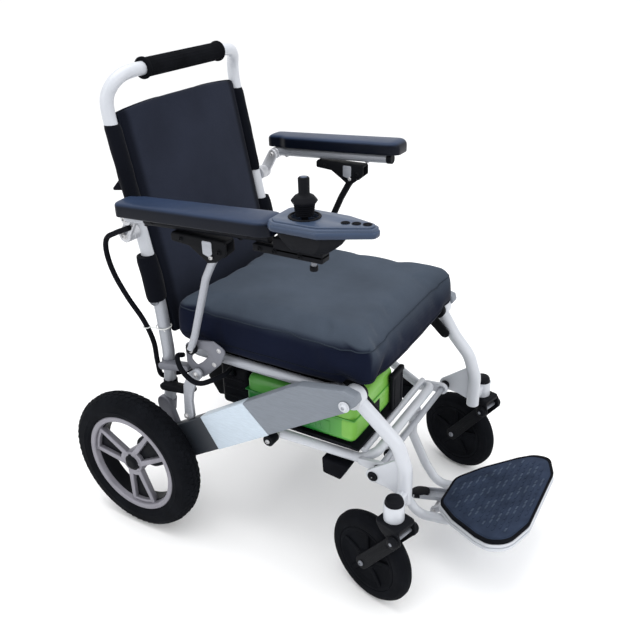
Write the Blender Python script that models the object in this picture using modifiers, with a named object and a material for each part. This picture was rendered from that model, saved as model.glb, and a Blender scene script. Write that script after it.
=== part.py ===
"""Folding power wheelchair, as an assembly of separate parts.

Metres, +X the way the rider faces, +Y the rider's left, +Z up.  The origin is on the
floor under the middle of the chair.  The rider's right side is -Y and carries the
joystick.  Every moving part has its origin, or its parent empty, on its joint's axis.
"""

from math import atan2, cos, hypot, pi, radians, sin, tan

import bmesh
import bpy
from mathutils import Matrix, Vector

# ---------------------------------------------------------------- driving dimensions
GAP = 0.0003                      # between parts that touch

WHEEL_RADIUS = 0.157              # rear wheel, 12.5 inch
WHEEL_WIDTH = 0.056
WHEEL_Y = 0.2688                  # middle of the tyre
AXLE = (-0.309, 0.157)            # rear axle, x and z
RIM_RADIUS = 0.1125
SPOKE_START = 41.0                # where the first pair of spokes points, degrees
WHEEL_STEPS = 32

CASTER_RADIUS = 0.0924
CASTER_WIDTH = 0.035
CASTER_TRAIL = 0.051
CASTER_TURN = -0.272              # how far both casters are swivelled
CASTER_STEPS = 24
SWIVEL = (0.2676, 0.2298)         # swivel axis, x and y
HEAD_BOTTOM = 0.2142              # underside of the head tube
CASTER_BOLT = (0.0215, 0.1880)    # the caster arm's pivot, in the caster's own x and z

BEAM_IN = 0.2130                  # faces of the side beam, in y
BEAM_OUT = 0.2350
BEAM_ANGLE = radians(32.0)
BEAM_TOP = 0.032                  # beam edges, across the beam, from the axle line
BEAM_BOTTOM = -0.043
BEAM_LENGTH = 0.557

LEG_PIVOT = (0.172, 0.421)        # front leg on the beam, x and z
FRAME_PIVOT = (0.203, 0.249)      # lower frame on the front legs
TRACK_ROLLER = (0.005, 0.2870)    # rear end of the lower frame under the beam
LEG_Y = 0.180

POST_Y = 0.194
POST_RADIUS = 0.0125
BACK_HINGE = (-0.268, 0.560)
BACK_LEAN = radians(11.3)

SEAT_HALF_WIDTH = 0.210
SEAT_TOP = 0.530
SEAT_FRAME_Z = 0.412

ARM_Y = 0.250
ARM_TILT = radians(2.8)
POST_CLEVIS = (-0.2870, 0.655)    # clevis on the back post
ARM_HINGE = (-0.262, 0.697)       # rail on the clevis
STRUT_FOOT = (-0.165, 0.440)
STRUT_HEAD = (-0.048, 0.674)

FOOT_SLOPE = 0.295                # footplate rises to the front
FOOT_ZERO = 0.029                 # its height at x = 0
TRAY_DEPTH = 0.0170
FOOT_HINGE = (0.270, 0.0830)
HANGER_Y = 0.055

STICK = (0.126, -0.270, 0.756)    # middle of the joystick's gimbal
POD_TOP = 0.768
POD_JOINT = 0.750


# ---------------------------------------------------------------- scene and materials
def clear_scene():
    for obj in list(bpy.data.objects):
        bpy.data.objects.remove(obj, do_unlink=True)


def new_collection(name):
    collection = bpy.data.collections.new(name)
    bpy.context.scene.collection.children.link(collection)
    return collection


clear_scene()
PARTS = new_collection("power_wheelchair")
CUTTERS = new_collection("cutters")


def material(name, colour, roughness, metallic=0.0):
    mat = bpy.data.materials.new(name)
    mat.use_nodes = True
    shader = mat.node_tree.nodes["Principled BSDF"]
    shader.inputs["Base Color"].default_value = (*colour, 1.0)
    shader.inputs["Roughness"].default_value = roughness
    shader.inputs["Metallic"].default_value = metallic
    return mat


def place(obj, name, mat, collection=None):
    """Names the object, gives it a material of its own and files it in one collection."""
    obj.name = name
    for old in list(obj.users_collection):
        old.objects.unlink(obj)
    (collection or PARTS).objects.link(obj)
    obj.data.materials.clear()
    obj.data.materials.append(material(name, *mat))
    return obj


WHITE_PAINT = ((0.80, 0.82, 0.85), 0.35, 0.1)
GREY_PAINT = ((0.42, 0.45, 0.49), 0.4, 0.3)
CAST_METAL = ((0.62, 0.63, 0.66), 0.4, 0.6)
RIM_METAL = ((0.36, 0.34, 0.37), 0.35, 0.6)
BLACK_STEEL = ((0.02, 0.02, 0.022), 0.4, 0.2)
BLACK_PLASTIC = ((0.015, 0.016, 0.02), 0.45, 0.0)
NAVY_PLASTIC = ((0.05, 0.07, 0.13), 0.4, 0.0)
RUBBER = ((0.012, 0.013, 0.016), 0.8, 0.0)
DARK_FABRIC = ((0.03, 0.04, 0.06), 0.85, 0.0)
SLATE_FABRIC = ((0.06, 0.085, 0.12), 0.8, 0.0)
GREEN_PLASTIC = ((0.05, 0.45, 0.08), 0.4, 0.0)
RED_PLASTIC = ((0.5, 0.03, 0.02), 0.4, 0.0)


# ---------------------------------------------------------------- modelling helpers
def rounded(points, radius, steps=5, closed=False):
    """The points of a polyline whose corners are turned into arcs of one radius."""
    corners = [Vector(point) for point in points]
    count = len(corners)
    result = []
    for index, corner in enumerate(corners):
        if not closed and index in (0, count - 1):
            result.append(corner)
            continue
        before = (corners[index - 1] - corner).normalized()
        after = (corners[(index + 1) % count] - corner).normalized()
        angle = before.angle(after)
        if angle > radians(176):
            result.append(corner)
            continue
        reach = radius / tan(angle / 2)
        centre = corner + (before + after).normalized() * (radius / sin(angle / 2))
        first = corner + before * reach - centre
        last = corner + after * reach - centre
        sweep = first.angle(last)
        for step in range(steps + 1):
            part = step / steps
            turned = first * sin((1 - part) * sweep) + last * sin(part * sweep)
            result.append(centre + turned / sin(sweep))
    return result


def arc(centre, radius, start, end, steps):
    """Points in a plane from one angle to another, in degrees, round a centre."""
    angles = [radians(start + (end - start) * step / steps) for step in range(steps + 1)]
    return [(centre[0] + radius * cos(a), centre[1] + radius * sin(a)) for a in angles]


def circle(centre, radius, steps=16):
    return arc(centre, radius, 0, 360 * (steps - 1) / steps, steps - 1)


def slab(a, b, radius_a, radius_b, steps=8):
    """Outline of a link: two round ends and the straight sides between them."""
    direction = atan2(b[1] - a[1], b[0] - a[0]) * 180 / pi
    lean = 90 + atan2(radius_b - radius_a, hypot(b[0] - a[0], b[1] - a[1])) * 180 / pi
    head = arc(b, radius_b, direction - lean, direction + lean, steps)
    tail = arc(a, radius_a, direction + lean, direction + 360 - lean, steps)
    return head + tail


def beam_point(along, across):
    """A point of the side beam's own axes as x and z."""
    x = AXLE[0] + along * cos(BEAM_ANGLE) - across * sin(BEAM_ANGLE)
    z = AXLE[1] + along * sin(BEAM_ANGLE) + across * cos(BEAM_ANGLE)
    return x, z


def curve_object(splines, cyclic, dimensions):
    curve = bpy.data.curves.new("curve", "CURVE")
    curve.dimensions = dimensions
    for points in splines:
        spline = curve.splines.new("POLY")
        spline.points.add(len(points) - 1)
        for point, place_at in zip(spline.points, points):
            spot = tuple(place_at) + (0.0,) * (3 - len(place_at))
            point.co = (*spot, 1.0)
        spline.use_cyclic_u = cyclic
    obj = bpy.data.objects.new("curve", curve)
    CUTTERS.objects.link(obj)
    return obj


def to_mesh(obj):
    """Swaps a curve object for a closed mesh object in the same place."""
    bpy.context.view_layer.update()
    graph = bpy.context.evaluated_depsgraph_get()
    mesh = bpy.data.meshes.new_from_object(obj.evaluated_get(graph))
    work = bmesh.new()
    work.from_mesh(mesh)
    bmesh.ops.remove_doubles(work, verts=work.verts, dist=0.00001)
    bmesh.ops.recalc_face_normals(work, faces=work.faces)
    work.to_mesh(mesh)
    work.free()
    solid = bpy.data.objects.new("solid", mesh)
    solid.matrix_world = obj.matrix_world.copy()
    CUTTERS.objects.link(solid)
    bpy.data.objects.remove(obj, do_unlink=True)
    return solid


def smooth(obj, angle=35):
    obj.data.shade_smooth()
    obj.data.set_sharp_from_angle(angle=radians(angle))
    return obj


def tube(points, radius, detail=2, loop=False):
    """A bar along a path of points, with closed ends unless the path is a loop."""
    obj = curve_object([[tuple(point) for point in points]], loop, "3D")
    obj.data.bevel_depth = radius
    obj.data.bevel_resolution = detail
    obj.data.use_fill_caps = True
    return smooth(to_mesh(obj))


def plate(outlines, y_from, y_to):
    """A flat plate in the XZ plane between two values of y; later outlines are holes."""
    obj = curve_object(outlines, True, "2D")
    obj.data.fill_mode = "BOTH"
    obj.data.extrude = abs(y_to - y_from) / 2
    obj.rotation_euler.x = pi / 2
    obj.location.y = (y_from + y_to) / 2
    return to_mesh(obj)


def sheet(outlines, z_from, z_to):
    """A flat plate in the XY plane between two heights; later outlines are holes."""
    obj = curve_object(outlines, True, "2D")
    obj.data.fill_mode = "BOTH"
    obj.data.extrude = (z_to - z_from) / 2
    obj.location.z = (z_from + z_to) / 2
    return to_mesh(obj)


def block(low, high, bevel=0.0, segments=2):
    """A box between two corners, with rounded edges."""
    bpy.ops.mesh.primitive_cube_add(size=1.0)
    obj = bpy.context.active_object
    size = Vector(high) - Vector(low)
    obj.data.transform(Matrix.Diagonal((*size, 1.0)))
    obj.location = (Vector(high) + Vector(low)) / 2
    if bevel:
        round_edges(obj, bevel, segments)
    return obj


def round_edges(obj, width, segments=2, angle=40):
    bevel = obj.modifiers.new("Bevel", "BEVEL")
    bevel.width = width
    bevel.segments = segments
    bevel.limit_method = "ANGLE"
    bevel.angle_limit = radians(angle)
    return obj


def turned(profile, centre, axis, steps=20, closed=False, half_step=False):
    """A solid of revolution: (radius, height) pairs, the outer side from top to bottom."""
    mesh = bpy.data.meshes.new("profile")
    verts = [(radius, 0.0, height) for radius, height in profile]
    edges = [(index, index + 1) for index in range(len(verts) - 1)]
    if closed:
        edges.append((len(verts) - 1, 0))
    mesh.from_pydata(verts, edges, [])
    obj = bpy.data.objects.new("turned", mesh)
    CUTTERS.objects.link(obj)
    if half_step:
        mesh.transform(Matrix.Rotation(pi / steps, 4, "Z"))
    screw = obj.modifiers.new("Screw", "SCREW")
    screw.steps = steps
    screw.render_steps = steps
    screw.use_merge_vertices = True
    screw.merge_threshold = 0.00001
    screw.use_smooth_shade = True
    obj.rotation_mode = "QUATERNION"
    obj.rotation_quaternion = Vector((0, 0, 1)).rotation_difference(Vector(axis))
    obj.location = centre
    return obj


def rod(start, end, radius, steps=12):
    """A plain round bar between two points."""
    start = Vector(start)
    end = Vector(end)
    length = (end - start).length
    profile = [(0.0, length), (radius, length), (radius, 0.0), (0.0, 0.0)]
    return turned(profile, start, end - start, steps)


def ring(start, end, inner, outer, steps=12):
    """A plain bush between two points."""
    start = Vector(start)
    end = Vector(end)
    length = (end - start).length
    profile = [(inner, length), (outer, length), (outer, 0.0), (inner, 0.0)]
    return turned(profile, start, end - start, steps, closed=True)


def boolean(target, tools, operation):
    for tool in tools:
        tool.hide_render = True
        tool.display_type = "WIRE"
        for old in list(tool.users_collection):
            old.objects.unlink(tool)
        CUTTERS.objects.link(tool)
        cut = target.modifiers.new(operation.title(), "BOOLEAN")
        cut.operation = operation
        cut.solver = "EXACT"
        cut.object = tool
    return target


def join(target, *tools):
    return boolean(target, tools, "UNION")


def cut(target, *tools):
    return boolean(target, tools, "DIFFERENCE")


def pivot(name, x, y, z, parent=None):
    """An empty on a joint's axis, which the parts of one moving body hang from."""
    empty = bpy.data.objects.new(name, None)
    empty.empty_display_size = 0.02
    empty.location = (x, y, z)
    PARTS.objects.link(empty)
    if parent:
        hang(parent, empty)
    return empty


def hang(parent, *objects):
    """Parents objects and keeps them where they are."""
    bpy.context.view_layer.update()
    for obj in objects:
        obj.parent = parent
        obj.matrix_parent_inverse = parent.matrix_world.inverted()


SIDES = (("right", -1), ("left", 1))


# ---------------------------------------------------------------- rear frame
def side_beam(name, side):
    tip = beam_point(BEAM_LENGTH + 0.020, -0.031)
    outline = [beam_point(*p) for p in arc((0.0, -0.0055), 0.0375, 90, 270, 10)]
    outline += [beam_point(BEAM_LENGTH - 0.013, BEAM_BOTTOM), tip]
    outline += [beam_point(BEAM_LENGTH, BEAM_TOP + 0.003)]
    outline += [beam_point(BEAM_LENGTH - 0.20, BEAM_TOP)]
    holes = [circle(AXLE, 0.0108), circle(LEG_PIVOT, 0.0083)]
    beam = plate([outline] + holes, side * BEAM_IN, side * BEAM_OUT)
    return place(beam, name, GREY_PAINT)


def gear_motor(name, side):
    """Gearbox flange, gearbox, motor body and brake cap, from the beam inwards."""
    depth = [0.0, 0.014, 0.030, 0.036, 0.058, 0.062]
    radius = [0.040, 0.040, 0.036, 0.030, 0.030, 0.024]
    profile = [(0.0, depth[-1])] + [(radius[-1], depth[-1])]
    for index in range(len(depth) - 2, -1, -1):
        profile.append((radius[index], depth[index]))
    profile += [(0.0108, 0.0), (0.0108, 0.020), (0.0, 0.020)]
    motor = turned(profile, (AXLE[0], side * (BEAM_IN - GAP), AXLE[1]), (0, -side, 0), 24)
    return place(motor, name, BLACK_STEEL)


def freewheel_lever(name, side):
    """Lever on the motor's inner end that lets the wheel turn by hand."""
    inner = BEAM_IN - GAP - 0.062
    hub = rod((AXLE[0], side * (inner - GAP), AXLE[1]),
              (AXLE[0], side * (inner - 0.010), AXLE[1]), 0.010, 12)
    handle = plate([slab(AXLE, (AXLE[0] - 0.040, AXLE[1] + 0.026), 0.008, 0.006)],
                   side * (inner - 0.003), side * (inner - 0.009))
    return place(join(hub, handle), name, RED_PLASTIC)


def rear_strut(name, side):
    """Flat bar that stands on the beam and carries the seat's side plate."""
    foot = beam_point(0.178, BEAM_TOP + GAP)
    foot_back = beam_point(0.148, BEAM_TOP + GAP)
    outline = [foot_back, foot, (-0.176, 0.330), (-0.160, 0.368), (-0.142, 0.386), (-0.154, 0.402),
               (-0.178, 0.382), (-0.196, 0.345)]
    strut = plate([outline], side * 0.2192, side * 0.2292)
    return place(strut, name, WHITE_PAINT)


def lower_post(name, side):
    """Fixed lower part of the back post, with its foot on the beam and hinge plate on top."""
    path = [(-0.2690, side * POST_Y, 0.262), (-0.2590, side * POST_Y, 0.312),
            (-0.2535, side * POST_Y, 0.400), (-0.2590, side * POST_Y, 0.480),
            (-0.2655, side * POST_Y, 0.543)]
    post = tube(rounded(path, 0.10, 2), POST_RADIUS)
    sole = beam_point(0.075, 0.012)
    foot = plate([slab((-0.268, 0.276), sole, 0.017, 0.024, 6)],
                 side * (POST_Y + 0.006), side * (BEAM_IN - GAP))
    hinge = plate([slab((-0.2625, 0.515), BACK_HINGE, 0.012, 0.015, 6), circle(BACK_HINGE, 0.0053, 12)],
                  side * (POST_Y + POST_RADIUS - 0.002), side * (POST_Y + POST_RADIUS + 0.0045))
    # the hinge plate stands clear of the upper post, so its inner face is cut back there
    relief = rod((BACK_HINGE[0], side * (POST_Y - 0.02), BACK_HINGE[1]),
                 (BACK_HINGE[0], side * (POST_Y + POST_RADIUS + GAP), BACK_HINGE[1]), 0.0165, 20)
    links = []
    for low, high in (((-0.2560, 0.372), (-0.192, 0.384)), ((-0.2590, 0.322), (-0.190, 0.330))):
        links.append(plate([slab(low, high, 0.008, 0.0065, 4)],
                           side * (POST_Y + 0.006), side * (0.2192 - GAP)))
    return place(join(cut(hinge, relief), post, foot, *links), name, CAST_METAL)


def seat_frame(name):
    """Tube loop with a board in it, and a slotted side plate on a stand-off at each side."""
    z = SEAT_FRAME_Z
    rail_y = 0.185
    corners = [(-0.205, -rail_y, z), (0.133, -rail_y, z), (0.133, rail_y, z), (-0.205, rail_y, z)]
    loop = tube(rounded(corners, 0.03, 3, closed=True), 0.010, loop=True)
    parts = [block((-0.200, -rail_y + 0.005, z - 0.0025), (0.128, rail_y - 0.005, z + 0.0025))]
    for _, side in SIDES:
        slot = rounded([(-0.168, 0.425, 0), (-0.136, 0.447, 0), (-0.126, 0.432, 0),
                        (-0.158, 0.410, 0)], 0.007, 3, closed=True)
        rim = rounded([(-0.178, 0.398, 0), (-0.186, 0.446, 0), (-0.160, 0.462, 0), (-0.118, 0.470, 0),
                       (-0.096, 0.446, 0), (-0.120, 0.404, 0)], 0.010, 3, closed=True)
        side_plate = plate([[tuple(p)[:2] for p in rim], [tuple(p)[:2] for p in slot]],
                           side * 0.2135, side * 0.2185)
        stand_off = rod((-0.130, side * 0.178, z), (-0.130, side * 0.2175, z), 0.008, 12)
        pin = rod((STRUT_FOOT[0], side * 0.216, STRUT_FOOT[1]),
                  (STRUT_FOOT[0], side * 0.2300, STRUT_FOOT[1]), 0.005, 12)
        parts += [side_plate, stand_off, pin]
    return place(join(loop, *parts), name, CAST_METAL)


def seat_cushion(name):
    side_view = [(-0.236, 0.4240, 0), (-0.236, SEAT_TOP, 0), (0.206, SEAT_TOP, 0),
                 (0.212, 0.4450, 0), (0.152, 0.4450, 0), (0.140, 0.4240, 0)]
    outline = [tuple(p)[:2] for p in rounded(side_view, 0.012, 2, closed=True)]
    cushion = plate([outline], -SEAT_HALF_WIDTH, SEAT_HALF_WIDTH)
    return place(round_edges(cushion, 0.012, 2), name, SLATE_FABRIC)


def battery(name):
    case = block((-0.088, -0.167, 0.2880), (0.156, 0.010, 0.3740), 0.016, 2)
    return place(case, name, GREEN_PLASTIC)


def battery_tray(name):
    """Black cradle under the battery with an upright at its front."""
    floor = block((-0.092, -0.169, 0.2790), (0.166, 0.016, 0.2870), 0.002, 1)
    upright = block((0.1575, -0.022, 0.2800), (0.1660, 0.028, 0.3660), 0.002, 1)
    return place(join(floor, upright), name, BLACK_PLASTIC)


def battery_dock(name):
    dock = block((-0.160, -0.150, 0.2790), (-0.0925, 0.060, 0.3740), 0.010, 1)
    return place(dock, name, BLACK_PLASTIC)


def motor_controller(name):
    """Finned control box hung behind the battery dock."""
    outline = [(-0.226, 0.300, 0), (-0.214, 0.345, 0), (-0.168, 0.352, 0), (-0.1605, 0.330, 0),
               (-0.1605, 0.270, 0), (-0.200, 0.262, 0)]
    flat = [tuple(p)[:2] for p in rounded(outline, 0.004, 2, closed=True)]
    box = plate([flat], -0.110, 0.060)
    return place(box, name, BLACK_PLASTIC)


def build_rear_frame():
    for label, side in SIDES:
        side_beam(f"{label}_side_beam", side)
        gear_motor(f"{label}_motor", side)
        lever = freewheel_lever(f"{label}_freewheel_lever", side)
        hang(pivot(f"{label}_lever_pivot", AXLE[0], side * 0.14, AXLE[1]), lever)
        rear_strut(f"{label}_rear_strut", side)
        lower_post(f"{label}_lower_post", side)
    reach = BEAM_IN - GAP
    x, z = beam_point(0.475, -0.0245)
    place(rod((x, -reach, z), (x, reach, z), 0.0115), "front_cross_tube", WHITE_PAINT)
    x, z = beam_point(0.135, -0.022)
    place(rod((x, -reach, z), (x, reach, z), 0.0115), "rear_cross_tube", WHITE_PAINT)
    seat_frame("seat_frame")
    seat_cushion("seat_cushion")
    battery("battery_case")
    battery_tray("battery_tray")
    battery_dock("battery_dock")
    motor_controller("motor_controller")


# ---------------------------------------------------------------- rear wheels
def tyre(name, side):
    """Tyre whose facets touch the floor flat."""
    scale = 1 / cos(pi / WHEEL_STEPS)
    half = WHEEL_WIDTH / 2
    bead = RIM_RADIUS + GAP
    section = [(bead, half - 0.0045), (0.124, half), (0.142, half), (0.1540, half - 0.010),
               (WHEEL_RADIUS, 0.0)]
    lower = [(radius, -height) for radius, height in reversed(section[:-1])]
    profile = [(radius * scale, height) for radius, height in section + lower]
    body = turned(profile, (AXLE[0], side * WHEEL_Y, AXLE[1]), (0, side, 0), WHEEL_STEPS,
                  closed=True, half_step=True)
    return place(body, name, RUBBER)


def rim(name, side):
    """Rim ring, three forked double spokes, hub with cap, and the axle into the motor."""
    half = WHEEL_WIDTH / 2 - 0.0045
    well = [(0.1010, half), (RIM_RADIUS, half), (RIM_RADIUS, -half), (0.1010, -half), (0.0985, 0.0)]
    centre = Vector((AXLE[0], side * WHEEL_Y, AXLE[1]))
    body = turned(well, centre, (0, side, 0), WHEEL_STEPS, closed=True, half_step=True)
    inner_end = BEAM_OUT + GAP + 0.001 - WHEEL_Y
    hub = [(0.0, 0.024), (0.0135, 0.024), (0.0150, 0.0195), (0.0240, 0.0185), (0.0260, 0.004),
           (0.022, inner_end), (0.0100, inner_end), (0.0100, inner_end - 0.040), (0.0, inner_end - 0.040)]
    parts = [turned(hub, centre, (0, side, 0), 24)]
    for index in range(3):
        base = radians(SPOKE_START + 120 * index)
        pair = []
        for lean in (-1, 1):
            inner = base + lean * radians(32)
            outer = base + lean * radians(16)
            start = (AXLE[0] + 0.022 * cos(inner), AXLE[1] + 0.022 * sin(inner))
            end = (AXLE[0] + 0.1035 * cos(outer), AXLE[1] + 0.1035 * sin(outer))
            pair.append((start, end))
            parts.append(plate([slab(start, end, 0.0060, 0.0045, 3)],
                               side * (WHEEL_Y + 0.006), side * (WHEEL_Y + 0.018)))
        web = [pair[0][0], pair[0][1], pair[1][1], pair[1][0]]
        parts.append(plate([web], side * (WHEEL_Y + 0.002), side * (WHEEL_Y + 0.008)))
    return place(join(body, *parts), name, RIM_METAL)


def build_rear_wheels():
    for label, side in SIDES:
        spin = pivot(f"{label}_wheel_pivot", AXLE[0], side * WHEEL_Y, AXLE[1])
        hang(spin, tyre(f"{label}_tyre", side), rim(f"{label}_rim", side))


# ---------------------------------------------------------------- front frame
def front_leg(name, side):
    """Bent leg tube with its knuckle, head tube, web and the gusset to the lower frame."""
    top = (LEG_PIVOT[0], side * 0.197, LEG_PIVOT[1])
    path = [top, (0.214, side * 0.184, 0.369), (0.250, side * LEG_Y, 0.332),
            (0.2655, side * LEG_Y, 0.285), (0.2655, side * LEG_Y, 0.215)]
    leg = tube(rounded(path, 0.055, 3), 0.0155)
    knuckle = rod((LEG_PIVOT[0], side * 0.186, LEG_PIVOT[1]),
                  (LEG_PIVOT[0], side * (BEAM_IN - GAP), LEG_PIVOT[1]), 0.0205)
    pin = rod((LEG_PIVOT[0], side * 0.20, LEG_PIVOT[1]),
              (LEG_PIVOT[0], side * (BEAM_OUT + 0.004), LEG_PIVOT[1]), 0.008)
    bore = [(0.0085, 0.0), (0.0085, 0.034), (0.0, 0.034)]
    socket = [(0.0, 0.046), (0.0190, 0.046), (0.0190, 0.0)] + bore
    head = turned(socket, (SWIVEL[0], side * SWIVEL[1], HEAD_BOTTOM), (0, 0, 1), 20)
    web = block((0.2570, min(side * 0.186, side * 0.218), 0.2220),
                (0.2760, max(side * 0.186, side * 0.218), 0.2520))
    outline = [(0.262, 0.312), (0.262, 0.222), (0.232, 0.2330)]
    outline += arc(FRAME_PIVOT, 0.0145, 290, 115, 6)
    gusset = plate([outline, circle(FRAME_PIVOT, 0.0063, 12)], side * 0.1765, side * 0.1845)
    return place(join(leg, knuckle, pin, head, web, gusset), name, WHITE_PAINT)


CROSS = (0.186, 0.262)            # front tube of the lower frame, x and z


def lower_frame(name):
    """U tube whose front lies across, a second cross tube, lugs, and the track roller stubs."""
    corner_y, end_y = 0.145, 0.196
    path = []
    for _, side in SIDES:
        half = [(TRACK_ROLLER[0], side * end_y, TRACK_ROLLER[1]), (0.158, side * corner_y, 0.247),
                (CROSS[0], side * (corner_y - 0.014), CROSS[1])]
        path += half if side < 0 else half[::-1]
    frame = tube(rounded(path, 0.018, 3), 0.0095)
    second = rod((0.163, -0.142, 0.266), (0.163, 0.142, 0.266), 0.0065, 12)
    parts = [second]
    for _, side in SIDES:
        lug = plate([slab((0.168, 0.250), FRAME_PIVOT, 0.0080, 0.0125, 6), circle(FRAME_PIVOT, 0.0063, 12)],
                    side * 0.150, side * 0.160)
        parts.append(rod((0.166, side * 0.138, 0.250), (0.166, side * 0.159, 0.250), 0.0078, 12))
        roller = rod((TRACK_ROLLER[0], side * (end_y - 0.004), TRACK_ROLLER[1]),
                     (TRACK_ROLLER[0], side * 0.231, TRACK_ROLLER[1]), 0.0115)
        parts += [lug, roller]
    return place(join(frame, *parts), name, WHITE_PAINT)


def rubber_foot(name, side, x):
    """Tapered block under the lower frame's tube, which the folded chair stands on."""
    share = (x - 0.158) / (TRACK_ROLLER[0] - 0.158)
    y = side * (0.145 + (0.196 - 0.145) * share)
    z = 0.247 + (TRACK_ROLLER[1] - 0.247) * share - 0.0145
    outline = [(x - 0.030, z), (x - 0.028, z - 0.036), (x + 0.010, z - 0.040), (x + 0.030, z - 0.004)]
    foot = plate([outline], y - 0.015, y + 0.015)
    return place(foot, name, RUBBER)


def foot_height(x):
    return FOOT_ZERO + FOOT_SLOPE * x


def footrest_hanger(name):
    """Two bent tubes from the lower frame's cross tubes to under the footplate."""
    tubes = []
    below = TRAY_DEPTH + GAP + 0.0125
    for _, side in SIDES:
        y = side * HANGER_Y
        path = [(CROSS[0] - 0.002, y, CROSS[1] - 0.0110), (0.178, y, 0.190), (0.212, y, 0.120),
                (0.243, y, 0.0775), (0.300, y, foot_height(0.300) - below),
                (0.400, y, foot_height(0.400) - below)]
        tubes.append(tube(rounded(path, 0.035, 3), 0.0095))
    bridge = rod((0.385, -HANGER_Y, foot_height(0.385) - below),
                 (0.385, HANGER_Y, foot_height(0.385) - below), 0.006, 12)
    bolt = rod((0.181, -0.0620, 0.215), (0.181, 0.0620, 0.215), 0.0055, 12)
    return place(join(tubes[0], tubes[1], bridge, bolt), name, WHITE_PAINT)


def build_front_frame():
    legs = pivot("front_leg_pivot", LEG_PIVOT[0], 0.0, LEG_PIVOT[1])
    for label, side in SIDES:
        hang(legs, front_leg(f"{label}_front_leg", side))
    shaft = rod((FRAME_PIVOT[0], -0.1860, FRAME_PIVOT[1]), (FRAME_PIVOT[0], 0.1860, FRAME_PIVOT[1]),
                0.0060, 16)
    hang(legs, place(shaft, "front_pivot_shaft", CAST_METAL))

    lower = pivot("lower_frame_pivot", FRAME_PIVOT[0], 0.0, FRAME_PIVOT[1], legs)
    hang(lower, lower_frame("lower_frame"), footrest_hanger("footrest_hanger"))
    hang(lower, rubber_foot("right_rubber_foot", -1, 0.118), rubber_foot("left_rubber_foot", 1, 0.118))


def plate_outline(scale=1.0):
    """Rounded triangle of the footplate in plan: narrow at the back, wide at the front."""
    half = [(0.281, 0.0), (0.281, 0.044), (0.324, 0.091), (0.386, 0.136), (0.412, 0.149), (0.447, 0.142),
            (0.466, 0.0)]
    middle = 0.385
    points = [(middle + (x - middle) * scale, y * scale, 0) for x, y in half]
    mirror = [(x, -y, 0) for x, y, _ in reversed(points[1:-1])]
    loop = points[1:-1] + [(points[-1][0] + 0.004, 0.060 * scale, 0)]
    loop += [(points[-1][0] + 0.004, -0.060 * scale, 0)] + mirror
    return [tuple(p)[:2] for p in rounded(loop, 0.022, 4, closed=True)]


def tilt_to_footplate(obj):
    """Shears a level plate into the footplate's sloping plane."""
    shear = Matrix.Identity(4)
    shear[2][0] = FOOT_SLOPE
    shear[2][3] = FOOT_ZERO
    obj.data.transform(shear @ Matrix.Translation(obj.location))
    obj.location = (0, 0, 0)
    return obj


def build_footplate():
    lower = bpy.data.objects["lower_frame_pivot"]
    flip = pivot("footplate_pivot", FOOT_HINGE[0], 0.0, FOOT_HINGE[1], lower)
    tray = tilt_to_footplate(sheet([plate_outline()], -TRAY_DEPTH, -0.0022))
    pad = tilt_to_footplate(sheet([plate_outline(0.975)], -0.0019, 0.0065))
    bar = tilt_to_footplate(block((0.204, -0.016, -0.0160), (0.2800, 0.016, -0.0060), 0.0015, 1))
    lugs = []
    for _, side in SIDES:
        lugs.append(plate([slab(FOOT_HINGE, (0.292, foot_height(0.292) - 0.012), 0.0075, 0.0045, 4)],
                          side * 0.030, side * 0.038))
    pin = rod((FOOT_HINGE[0], -0.0450, FOOT_HINGE[1]), (FOOT_HINGE[0], 0.0450, FOOT_HINGE[1]), 0.0045, 12)
    join(tray, *lugs, pin)
    hang(flip, place(tray, "footplate_tray", CAST_METAL), place(pad, "footplate_pad", RUBBER))
    hang(flip, place(bar, "footplate_bar", GREY_PAINT))


# ---------------------------------------------------------------- casters
def caster_place(x, y, z, side):
    """A point of a caster's own axes, turned about its swivel."""
    turned_x = SWIVEL[0] + x * cos(CASTER_TURN) - y * sin(CASTER_TURN)
    turned_y = side * SWIVEL[1] + x * sin(CASTER_TURN) + y * cos(CASTER_TURN)
    return turned_x, turned_y, z


def caster_crown():
    """Stem, top block and the two ears that hold the arm's front bolt."""
    stem = [(0.0, 0.028), (0.0080, 0.028), (0.0080, 0.0), (0.0, 0.0)]
    crown = block((-0.0240, -0.0245, 0.2040), (0.0300, 0.0245, HEAD_BOTTOM - GAP), 0.003, 1)
    parts = [turned(stem, (0, 0, HEAD_BOTTOM - 0.001), (0, 0, 1), 16)]
    for edge in (-1, 1):
        outline = [(-0.020, 0.2080), (-0.012, 0.1950)] + arc(CASTER_BOLT, 0.0125, 215, 380, 6)
        outline += [(0.0295, 0.2080)]
        parts.append(plate([outline, circle(CASTER_BOLT, 0.0043, 12)], edge * 0.0200, edge * 0.0245))
    return join(crown, *parts)


def caster_arm():
    """Two side plates, the front bolt and the wheel's axle."""
    hub = (-CASTER_TRAIL, CASTER_RADIUS)
    bolt = rod((CASTER_BOLT[0], -0.0305, CASTER_BOLT[1]), (CASTER_BOLT[0], 0.0305, CASTER_BOLT[1]), 0.0040, 12)
    parts = [rod((hub[0], -0.0310, hub[1]), (hub[0], 0.0310, hub[1]), 0.0050, 12)]
    for edge in (-1, 1):
        outline = slab(hub, CASTER_BOLT, 0.0135, 0.0125, 7)
        parts.append(plate([outline], edge * 0.0248, edge * 0.0296))
    return join(bolt, *parts)


def caster_wheel():
    scale = 1 / cos(pi / CASTER_STEPS)
    half = CASTER_WIDTH / 2
    section = [(0.0053, half + 0.003), (0.018, half + 0.003), (0.022, half - 0.005),
               (0.064, half - 0.001), (0.0850, half - 0.001), (CASTER_RADIUS, 0.0)]
    lower = [(radius, -height) for radius, height in reversed(section[:-1])]
    profile = [(radius * scale, height) for radius, height in section + lower]
    return turned(profile, (-CASTER_TRAIL, 0, CASTER_RADIUS), (0, 1, 0), CASTER_STEPS,
                  closed=True, half_step=True)


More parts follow.
